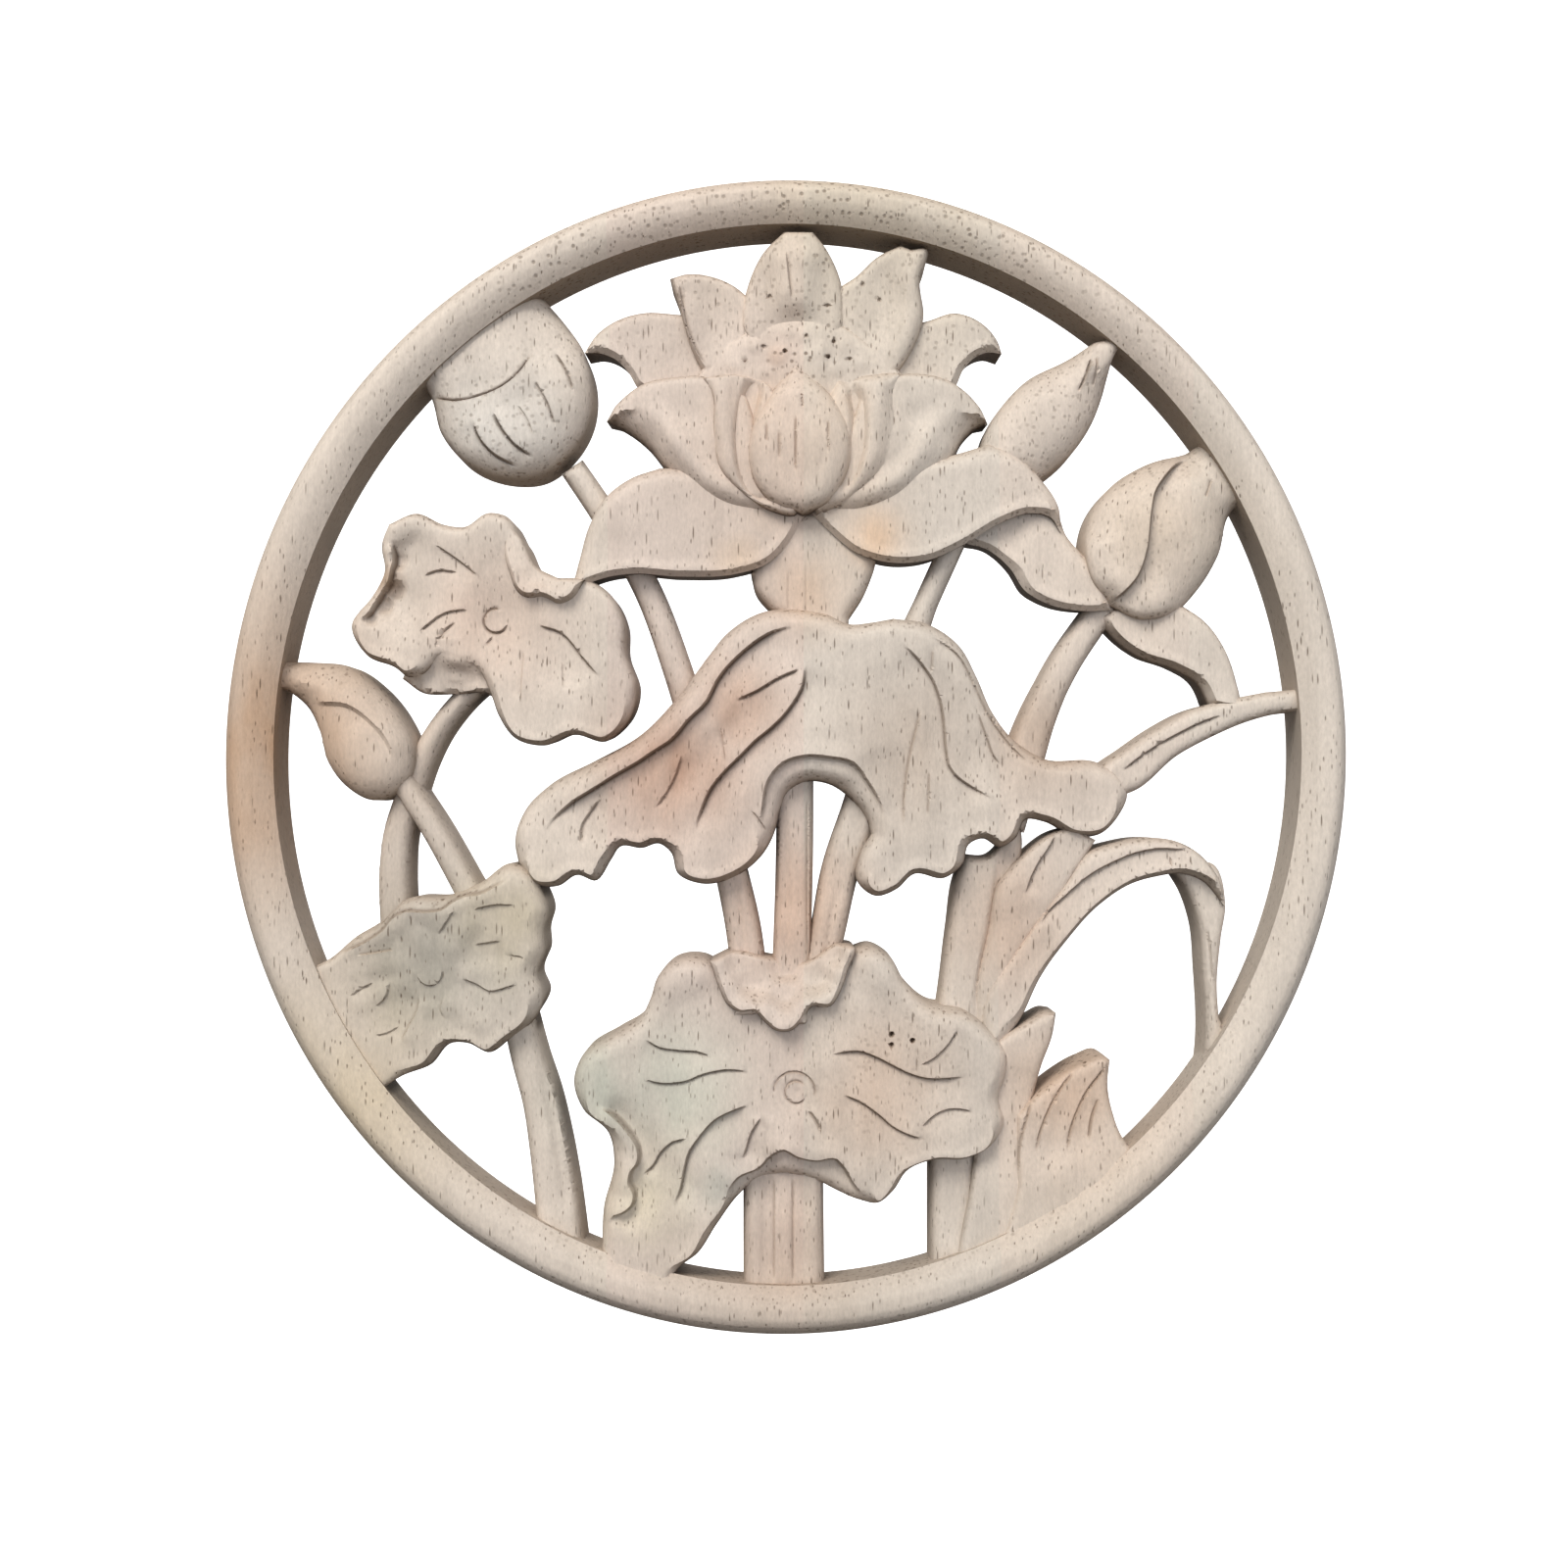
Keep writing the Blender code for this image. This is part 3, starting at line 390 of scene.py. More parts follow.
# The forms. Outlines and heights are (across, up) and (across, up, height above the back) in mm;
# a list of several runs has a sharp corner where two runs meet
# Stems, with the paths of their middles
stems = {
    "stemTopLeftBud": {
        "path": [(-38.2, 52), (-32.8, 44), (-24.5, 29.5), (-19.5, 16), (-13.8, -4), (-9.6, -21),
                 (-7.7, -30), (-6, -45.4)],
        "widths": (4.6, 5, 5.6, 6.6),
        "heights": [(-20, 10, 8.5), (-7.4, -37, 9.4), (-6.2, -42, 11), (-5.9, -46, 13.6)],
        "edge": stemEdge, "softness": 2,
        "hollows": [
            ([(-9.4, -20), (-7.9, -30), (-6.4, -42)], 0.4, 0.9)],
    },
    "stemFlower": {
        "path": [(1.5, 22), (1.5, -20), (0.6, -47)],
        "widths": (6.6, 6.8),
        "heights": [(1.5, -20, 9), (1.2, -38, 9.8), (0.8, -42.5, 11.8), (0.5, -46.6, 14.4)],
        "edge": stemEdge, "softness": 2,
        "hollows": [
            ([(0, -4), (0, -43)], 0.45, 0.9)],
        "cuts": [
            ([(3.8, -6), (3.8, -36)], 0.35, 0.45, 0.3, 1.5)],
    },
    "stemUpperRightBud": {
        "path": [(33.4, 46), (28.4, 35), (24, 25), (18.3, 8), (13.9, -8), (9.8, -20), (7.7, -30),
                 (5, -44)],
        "widths": (4.2, 4.2, 7, 6.6, 5.6),
        "heights": [(10, -15, 8.5), (6.6, -37, 9.4), (5.4, -41.4, 11), (5, -44.6, 13.6)],
        "edge": stemEdge, "softness": 2,
        "hollows": [
            ([(9.8, -21), (7.9, -30), (6.2, -42)], 0.4, 0.9)],
    },
    "stemRightBud": {
        "path": [(58.4, 29.6), (55.2, 25), (49.8, 17), (45.3, 8), (41.8, -2), (38.4, -12)],
        "widths": (5, 5.6, 8.4),
        "heights": [(45, 8, 9)],
        "edge": stemEdge,
    },
    "stemRightMiddle": {
        "outline": [
            [(31.8, -17.2), (30.2, -21), (28.8, -30), (27.3, -42)],
            [(26, -50)],
            [(34, -50)],
            [(36.2, -36), (38.6, -28), (40.4, -21), (41.6, -17.5), (41, -12)],
            [(38.6, -12), (37.8, -15.6), (36, -17.2)]],
        "heights": [(33, -30, 9)],
        "edge": stemEdge,
        "rolls": [(39.5, -20, 6, 1.2, 2.4), (37.5, -30, 7, 1.2, 2.4), (35.5, -42, 8, 1.2, 2.4)],
        "hollows": [
            ([(38.6, -14), (37.8, -22), (36.6, -30), (35, -38), (33.6, -48)], 1.3, 1.5)],
    },
    "stemRightLow": {
        "outline": [
            [(25.6, -68.5)],
            [(25.6, -94)],
            [(34, -94)],
            [(34, -68.5)]],
        "heights": [(29, -78, 9.4), (29, -92, 10.6)],
        "edge": stemEdge,
    },
    "stemUpperLeftLeaf": {
        "path": [(-50, 16), (-55.6, 12), (-60.9, 6), (-64.1, 0.5), (-66.9, -7), (-68.8, -14),
                 (-69.3, -20), (-68.9, -31)],
        "widths": (3.6, 4.2, 5.4, 6.2),
        "heights": [(-68, -12, 8)],
        "edge": stemEdge,
    },
    "stemLeftBud": {
        "path": [(-69, -2), (-66.6, -6.3), (-62.9, -12), (-57, -22.5), (-54, -28)],
        "widths": (4.6, 4.6, 5.2),
        "heights": [(-62, -12, 10)],
        "edge": stemEdge,
    },
    "stemLowerLeftLeaf": {
        "path": [(-48.1, -44), (-45.8, -53.5), (-43.6, -61), (-42.2, -68), (-41, -76), (-39.4, -90)],
        "widths": (5.6, 6.8, 8.2),
        "heights": [(-44, -58, 10), (-41, -74, 10.4), (-40, -86, 11)],
        "edge": stemEdge,
        "hollows": [
            ([(-44.6, -52), (-41.8, -62), (-40, -72), (-38.2, -84)], 0.7, 1.2)],
    },
    "stemBottom": {
        "path": [(-0.5, -68), (-0.3, -97)],
        "widths": (14.2, 14.4),
        "heights": [(0, -74, 9), (0, -86, 10.2), (0, -95, 11)],
        "edge": stemEdge,
        "hollows": [
            ([(-3.6, -73), (-3.6, -95)], 0.5, 1.3),
            ([(-0.2, -73), (-0.1, -95)], -0.5, 1.5),
            ([(3.4, -73), (3.4, -95)], 0.4, 1.2)],
        "cuts": [
            ([(-2.2, -74), (-2.2, -93.5)], 0.3, 0.5, 0.3, 1.5),
            ([(1.3, -74), (1.3, -93.5)], 0.3, 0.5, -0.3, 1.5)],
    },
}

# Lotus flower: back petals, the heart behind the middle petal, then the petals in front
flower = {
    "petalBackLeft": {
        "outline": [
            [(-35.6, 71.6), (-32.6, 71.4), (-30, 70.3), (-28.2, 68.6)],
            [(-26.5, 65.8), (-18, 60)],
            [(-12, 68)],
            [(-12, 78), (-19.5, 78.6), (-25, 78.8), (-30, 77.3), (-33.5, 74.8)]],
        "heights": [(-31, 74.5, 10), (-24, 73, 9.5), (-18, 70, 9)],
        "edge": petalEdge, "lowerEdge": thinEdge,
    },
    "petalBackRight": {
        "outline": [
            [(38.2, 71.4), (37.6, 73.4), (34.5, 77), (30, 78.7), (24.8, 77.3)],
            [(16, 76)],
            [(18, 60)],
            [(27, 61), (30.4, 66.3), (31.3, 68.4), (33.4, 70.7), (35.6, 71.6)]],
        "heights": [(33, 75, 10), (26, 73, 9.5), (22, 68, 9)],
        "edge": petalEdge, "lowerEdge": thinEdge,
    },
    "petalTopLeft": {
        "outline": [
            [(-20.5, 84.7), (-19.3, 81.5), (-18, 76.5), (-16.3, 71.5), (-13.5, 67)],
            [(-4, 70)],
            [(-5, 80), (-8.5, 83.2), (-13, 85.2), (-17.5, 85.6)]],
        "heights": [(-17.5, 80, 12), (-12, 80, 10.6), (-8, 79, 10.2), (-13, 84, 11.4)],
        "edge": petalEdge,
        "hollows": [
            ([(-13.5, 87), (-13.4, 79), (-12, 71)], 0.5, 4.5)],
        "cuts": [
            ([(-18.9, 84), (-18.3, 81), (-17.4, 76.5), (-15.9, 72.5), (-13.9, 69.2)],
             0.5, 0.45, -0.9, 1.8)],
    },
    "petalTopRight": {
        "outline": [
            [(20.3, 90.6), (16, 88.5), (12.5, 85.4), (9, 83)],
            [(8, 72)],
            [(18, 66), (22, 71.5), (24.4, 78), (23.7, 84), (24.8, 90)],
            [(22, 89.8)]],
        "heights": [(22, 86, 12), (22, 77, 11.4), (16, 81, 10.6), (12, 78, 10.2)],
        "edge": petalEdge,
        "pits": [(16.6, 81.3, 0.4, 0.5), (13.6, 83.9, 0.4, 0.5)],
        "hollows": [
            ([(17.5, 90), (17.5, 80), (15, 71)], 0.7, 4.5),
            ([(21.8, 90), (22.2, 79), (19.5, 69)], -0.4, 2.2)],
    },
    "petalTop": {
        "outline": [
            [(-0.3, 92.9), (-4.2, 89), (-6.8, 83.5), (-7.6, 76)],
            [(-4, 70)],
            [(8, 70)],
            [(10.3, 77), (9.6, 85), (7, 90.2)],
            [(4.8, 92.9)]],
        "heights": [(1.5, 76, 10.8), (1.5, 83, 12.8), (1.5, 90, 12.8), (-5, 82, 11.4), (8, 82, 11.4)],
        "edge": petalEdge,
        "pits": [(-2.9, 81.6, 0.4, 0.5), (7.4, 80.1, 0.4, 0.5)],
        "hollows": [
            ([(1.8, 92), (1.4, 84), (1.4, 76)], -1, 6)],
        "cuts": [
            ([(0.2, 89), (0.7, 84.5), (1.2, 80.5)], 0.35, 0.4, -0.5, 2.2)],
    },
    "flowerHeart": {
        "outline": [
            [(-16.5, 66.5), (-12.2, 72.2), (-7.3, 75.5), (-1.7, 77.6), (4.5, 78.1), (10, 76.7),
             (14.5, 73.6), (20.5, 68)],
            [(14, 50), (2, 46), (-9, 50)]],
        "heights": [(2.5, 75.5, 11.7), (-8, 72, 11.2), (12.5, 72, 11.2), (2.5, 69, 12.4),
                    (-6, 66, 11.2), (11, 66, 11.2)],
        "edge": (1.5, 3.4), "lattice": 0.45,
        "knobs": [(-9, 69.5, 1.8, 0.3), (-5.5, 73, 1.7, 0.3), (-1.2, 71.2, 2, 0.35),
                  (3, 74.8, 1.6, 0.25), (6.5, 72, 1.9, 0.3), (10.4, 73, 1.6, 0.25),
                  (13.2, 69.5, 1.7, 0.3), (9, 68.6, 1.6, 0.25), (0.5, 75.2, 1.4, 0.2),
                  (-3.6, 68.2, 1.5, 0.25), (4, 70.9, 1.4, 0.2)],
        "pits": [(-0.2, 71.8, 0.45, 0.9), (7.5, 70.9, 0.45, 0.9), (8.5, 73.7, 0.4, 0.8),
                 (-4, 72.8, 0.35, 0.6), (11.3, 70.6, 0.35, 0.5), (-7.2, 70.2, 0.35, 0.5),
                 (3.6, 74.6, 0.35, 0.5)],
    },
    "petalLowLeft": {
        "outline": [
            [(-38.6, 27.6), (-36.5, 29.8), (-33, 31.4), (-27, 32.4), (-19, 31.9), (-9, 32.4),
             (-3.5, 34.2), (0.5, 38), (3.6, 43.6)],
            [(-4, 50), (-16, 51.5)],
            [(-22.5, 51.3), (-27.5, 49.5), (-31.5, 46.6), (-35, 41), (-36.6, 35.5)]],
        "heights": [(-34, 36, 12), (-28, 43, 13), (-18, 40, 12.6), (-8, 38.5, 11.8), (0, 41.5, 10.8),
                    (-18, 34.6, 12.6), (-28, 34.6, 12.6)],
        "edge": softEdge, "lowerEdge": thinEdge,
    },
    "petalLowRight": {
        "outline": [
            [(4.2, 43.8), (8, 39.9), (12.5, 36.3), (18, 34.5), (25, 34.8), (31.5, 37.6), (38, 41.4),
             (43, 43.1), (46.8, 42.4)],
            [(48.7, 39.8), (48.6, 44), (45, 49.8), (40, 54.3)],
            [(36, 55.6), (30, 53.8)],
            [(18, 52)]],
        "heights": [(44, 46, 12.6), (37, 50, 13), (28, 46, 12.8), (19, 41, 12.4), (10, 42, 11.2),
                    (24, 37.4, 12.8), (36, 43.4, 13)],
        "edge": softEdge, "lowerEdge": thinEdge,
    },
    "petalSideLeft": {
        "outline": [
            [(-32.2, 60.5), (-29.6, 59.3), (-25, 55.8), (-21.1, 50.9), (-17, 46.2), (-12, 43.4),
             (-5, 42.2)],
            [(2.8, 43.4)],
            [(-4, 52), (-9, 66)],
            [(-16, 67.8), (-26.4, 65.9), (-29.5, 63.6)]],
        "heights": [(-29, 61, 10.4), (-24, 60.5, 12), (-18, 56, 13.4), (-17, 63, 12.4),
                    (-13, 49, 13.2), (-6, 45, 12.8)],
        "edge": (1.2, 1.8), "lowerEdge": (6.4, 5.2),
        "hollows": [
            ([(-26.4, 64), (-22.6, 60.4), (-19.6, 56.1), (-15.6, 51.2), (-10.4, 47), (-3, 44.2)],
             -0.6, 2.6),
            ([(-20, 64.5), (-16.2, 59), (-14.2, 53.5), (-10, 48.6)], 0.4, 3)],
    },
    "petalSideRight": {
        "outline": [
            [(36.3, 60), (35, 61.9), (32.6, 64.6), (30.4, 66.2), (21, 68)],
            [(14, 66), (9, 52)],
            [(4.4, 43.4)],
            [(10, 42.2), (17, 42.7), (22.5, 45), (26.4, 48.3), (29.4, 52), (31.8, 56.7), (34, 59)]],
        "heights": [(33.5, 61, 10.4), (28.5, 61, 12), (23, 56, 13.4), (23, 63, 12.4), (18, 48, 13.2),
                    (11, 45, 12.8)],
        "edge": (1.2, 1.8), "lowerEdge": (6.4, 5.2),
        "hollows": [
            ([(30.6, 64.2), (27.4, 60.4), (25, 56.1), (21.4, 51.4), (16, 47.2), (8.6, 44.4)], -0.6, 2.6),
            ([(25.4, 64.5), (22.4, 59), (20.4, 53.5), (16, 48.6)], 0.4, 3)],
    },
    "petalInnerLeft": {
        "outline": [
            [(-14.9, 67.4), (-13.1, 64), (-13, 57), (-11.6, 50.8), (-8, 46.8), (-3.5, 44.1),
             (1.8, 43.1)],
            [(2, 48), (0, 60), (-4, 67)],
            [(-9, 68)]],
        "heights": [(-11, 60, 13.5), (-10, 52, 13.7), (-7, 66, 12.8), (-5, 48, 13.8), (-2, 45.5, 13.4)],
        "edge": (1.8, 0.8), "lattice": 0.5,
        "hollows": [
            ([(-4, 70.5), (-5.8, 65.5), (-7, 60), (-7.3, 55), (-6.4, 50), (-4.2, 46.8), (-1, 44.6)],
             3.2, 2.3),
            ([(-10.6, 72), (-11.2, 64), (-10.9, 57.5), (-9.4, 51.5), (-6, 46.4)], -1, 2.8),
            ([(-13.9, 69), (-13.4, 63), (-12.9, 57.5), (-11.4, 52)], 0.5, 1)],
    },
    "petalInnerRight": {
        "outline": [
            [(5.4, 43.1), (10.7, 44.8), (15.3, 47.6), (18.6, 52), (20.2, 57.5), (19.8, 64),
             (20.8, 67.9)],
            [(14, 68)],
            [(9, 67), (5, 60), (3.5, 48)]],
        "heights": [(17, 60, 13.5), (16, 52, 13.7), (13, 66, 12.8), (11, 48, 13.8), (8, 45.5, 13.4)],
        "edge": (3, 3), "lattice": 0.5,
        "hollows": [
            ([(10, 69.5), (12.2, 64.5), (12.9, 59), (12.6, 54), (11, 49.5), (8.2, 45.6)], 2.2, 1.9),
            ([(15.6, 72), (16, 64), (15.6, 57.5), (14, 51.5), (10.6, 46.6)], -1, 2.8)],
    },
    "petalMiddle": {
        "outline": [
            [(3, 43.3), (-2, 44.9), (-5.2, 48.2), (-6.5, 52.5), (-6.4, 56.5), (-5.2, 60.6),
             (-2.8, 64.8), (-0.2, 68.2)],
            [(1.6, 70.8), (4.6, 68), (7.4, 65.2), (9.7, 62), (11.3, 58), (11.6, 54), (10.2, 49),
             (7.4, 45.2)]],
        "heights": [(2.6, 56, 15.9), (2.6, 48.5, 15.5), (2.4, 63, 15), (1.8, 69, 13.4)],
        "edge": (2.6, 4.2),
        "hollows": [
            ([(0.4, 47), (-1.6, 54), (-1.2, 60), (0.6, 66.5)], 0.28, 0.9),
            ([(5, 47), (6.8, 54), (6, 60), (3.4, 66)], 0.28, 0.9),
            ([(2.6, 46), (2.5, 56), (1.9, 67)], -0.22, 0.9)],
        "cuts": [
            ([(-3.4, 59.2), (-3.4, 55.8)], 0.3, 0.35, 0, 1),
            ([(-1.2, 57.6), (-1.2, 52.8)], 0.35, 0.35, 0, 1),
            ([(1.7, 60.8), (1.7, 50.2)], 0.35, 0.35, 0.2, 1.5),
            ([(7.5, 59.6), (7.5, 53.8)], 0.3, 0.35, 0, 1),
            ([(2.8, 64.8), (2.9, 61.8)], 0.3, 0.35, 0, 1)],
    },
    "flowerBase": {
        "outline": [
            [(-6.2, 32.6), (-5.4, 29.6), (-2.8, 26.4)],
            [(3, 22), (11, 22)],
            [(11.2, 24.8), (14.3, 29.8), (16, 35.6)],
            [(8, 44), (0, 42)]],
        "heights": [(3, 28, 9.8), (3, 38, 9.8)],
        "edge": (2.4, 2.4),
        "cuts": [
            ([(0.5, 25.5), (0.5, 34)], 0.15, 0.5, 0.2, 2),
            ([(3.6, 24), (3.6, 35)], 0.15, 0.5, 0.2, 2)],
    },
}

# Buds and their leaves
buds = {
    "budTopLeft": {
        "outline": [
            [(-43, 81.6), (-39.5, 77.6), (-36.3, 73), (-34.4, 67.5), (-34.9, 60), (-38.2, 54.2),
             (-43.5, 50.2), (-50.7, 49.9), (-56.7, 52.3), (-61.4, 57.7), (-63.5, 64.9)],
            [(-66, 68), (-58, 76), (-48, 84)]],
        "heights": [(-50, 57, 13.6), (-48, 66, 13), (-44, 75, 11.8), (-57, 66, 12), (-40, 63, 13.2)],
        "edge": budEdge,
        "rolls": [(-58, 77, 13, 0.8, 1.5)],
        "cuts": [
            ([(-63.2, 64.4), (-58.4, 63.5), (-54.2, 64.3), (-50.2, 65.9), (-47.6, 68),
              (-44.8, 72.2)], 0.8, 0.5, -0.9, 3.5),
            ([(-55.4, 59.4), (-54.4, 56.6), (-52, 53.8), (-47.6, 51.6)], 0.7, 0.45, 0.6, 3),
            ([(-51.8, 60.8), (-50, 57.6), (-48, 55.2), (-44.8, 53.2)], 0.7, 0.45, 0.5, 3),
            ([(-44.4, 66.4), (-42.4, 63), (-40.8, 58.6)], 0.45, 0.4, 0.3, 2.5),
            ([(-41, 71.8), (-39.2, 69), (-37.6, 64.8)], 0.5, 0.4, 0.3, 2.5),
            ([(-47.4, 62.2), (-45.6, 59.4), (-44.6, 56.6)], 0.25, 0.35, 0.2, 2)],
    },
    "budUpperRight": {
        "outline": [
            [(54.4, 73.2), (49.5, 70.6), (43, 67.2), (38.3, 62.4), (35.3, 57.6), (35, 50)],
            [(44.8, 48.8), (50.3, 53.4), (54.1, 58.7), (56.5, 64.6), (57.8, 70.6)],
            [(60, 74)]],
        "heights": [(46, 60, 13), (40, 56, 12.4), (53, 68, 12)],
        "edge": (5, 7),
        "rolls": [(58.6, 73, 5.5, 1, 2)],
        "cuts": [
            ([(54.2, 70.8), (53.2, 67.8), (51.8, 64.8)], 0.6, 0.4, 0.2, 2),
            ([(55.2, 71), (55, 68.2), (54.6, 66)], 0.4, 0.35, 0, 2)],
    },
    "budRightLeafLeft": {
        "outline": [
            [(57.4, 25.9), (52, 25.8), (46.6, 26.9), (42.3, 29.4), (39.7, 33.4), (35.8, 36.8),
             (31.5, 38.4)],
            [(34, 46)],
            [(44, 46.4), (48.2, 43.4), (49.8, 39.4), (52.5, 36.2)],
            [(58, 32)]],
        "heights": [(38, 40, 9.6), (45, 36, 11), (52, 31, 11.4)],
        "edge": softEdge, "lowerEdge": thinEdge,
    },
    "budRightLeafLow": {
        "outline": [
            [(55.5, 25), (58.2, 21.4), (63, 17.8), (69, 15.6), (73, 13.2)],
            [(75.2, 9), (80.6, 9), (79.9, 13.2), (77.7, 19.3), (74.2, 24)],
            [(70, 27), (62, 28)]],
        "heights": [(61, 23.5, 9.8), (70, 21, 11.4), (77, 13, 10.8)],
        "edge": (1.6, 1.8), "lowerEdge": (3, 0.9),
    },
    "budRight": {
        "outline": [
            [(57.2, 26.9), (62.8, 24.4), (68.8, 25.6), (73.6, 30.2), (77, 35.9), (79.6, 44)],
            [(82.6, 46.6), (77.4, 57.4)],
            [(71.5, 54.4), (63.6, 51.9), (57.5, 47.9), (54, 42.8), (52.9, 37), (53.8, 31.6)]],
        "heights": [(65, 40, 14.6), (62, 31, 13.6), (70, 47, 13.6), (57, 40, 13.4), (73, 36, 13.2),
                    (79, 50, 11.2), (75, 55, 11.2)],
        "edge": budEdge,
        "rolls": [(83, 53, 8.5, 0.8, 1.5), (53.4, 33, 6.5, 1.8, 3.2), (64, 24.5, 7, 2.6, 4)],
        "cuts": [
            ([(57, 27.3), (58.5, 28), (60.5, 29.7), (62, 31.5), (63, 33.5), (63.8, 36.5),
              (64.2, 40), (64.6, 43.5), (65.5, 47), (67, 49.3), (69, 51.5), (73, 53.9)],
             0.7, 0.5, 1.9, 4),
            ([(75.6, 49.6), (74.9, 47.5), (74.3, 46)], 0.4, 0.35, 0.2, 2)],
    },
    "budLeft": {
        "outline": [
            [(-93, 16.4), (-84, 17), (-77.5, 16.2), (-72.3, 12.6), (-68.2, 7.6), (-65.7, 1.4),
             (-66.3, -3.1), (-69.4, -6.7), (-73.1, -7.6), (-78, -5.1), (-81.2, -1), (-83.2, 5.2),
             (-85.6, 9.4), (-89.1, 12.2)],
            [(-93, 12.4)]],
        "heights": [(-73, 2, 13.2), (-75, 10, 12.4), (-83, 14, 11), (-90, 15, 10.6)],
        "edge": (4.5, 6),
        "rolls": [(-92, 14.6, 6, 1.2, 2)],
        "cuts": [
            ([(-84, 9.6), (-77.2, 8.9), (-73.3, 6.1), (-70.8, 3.3), (-69, -1)], 0.1, 0.5, 0.9, 3)],
    },
}

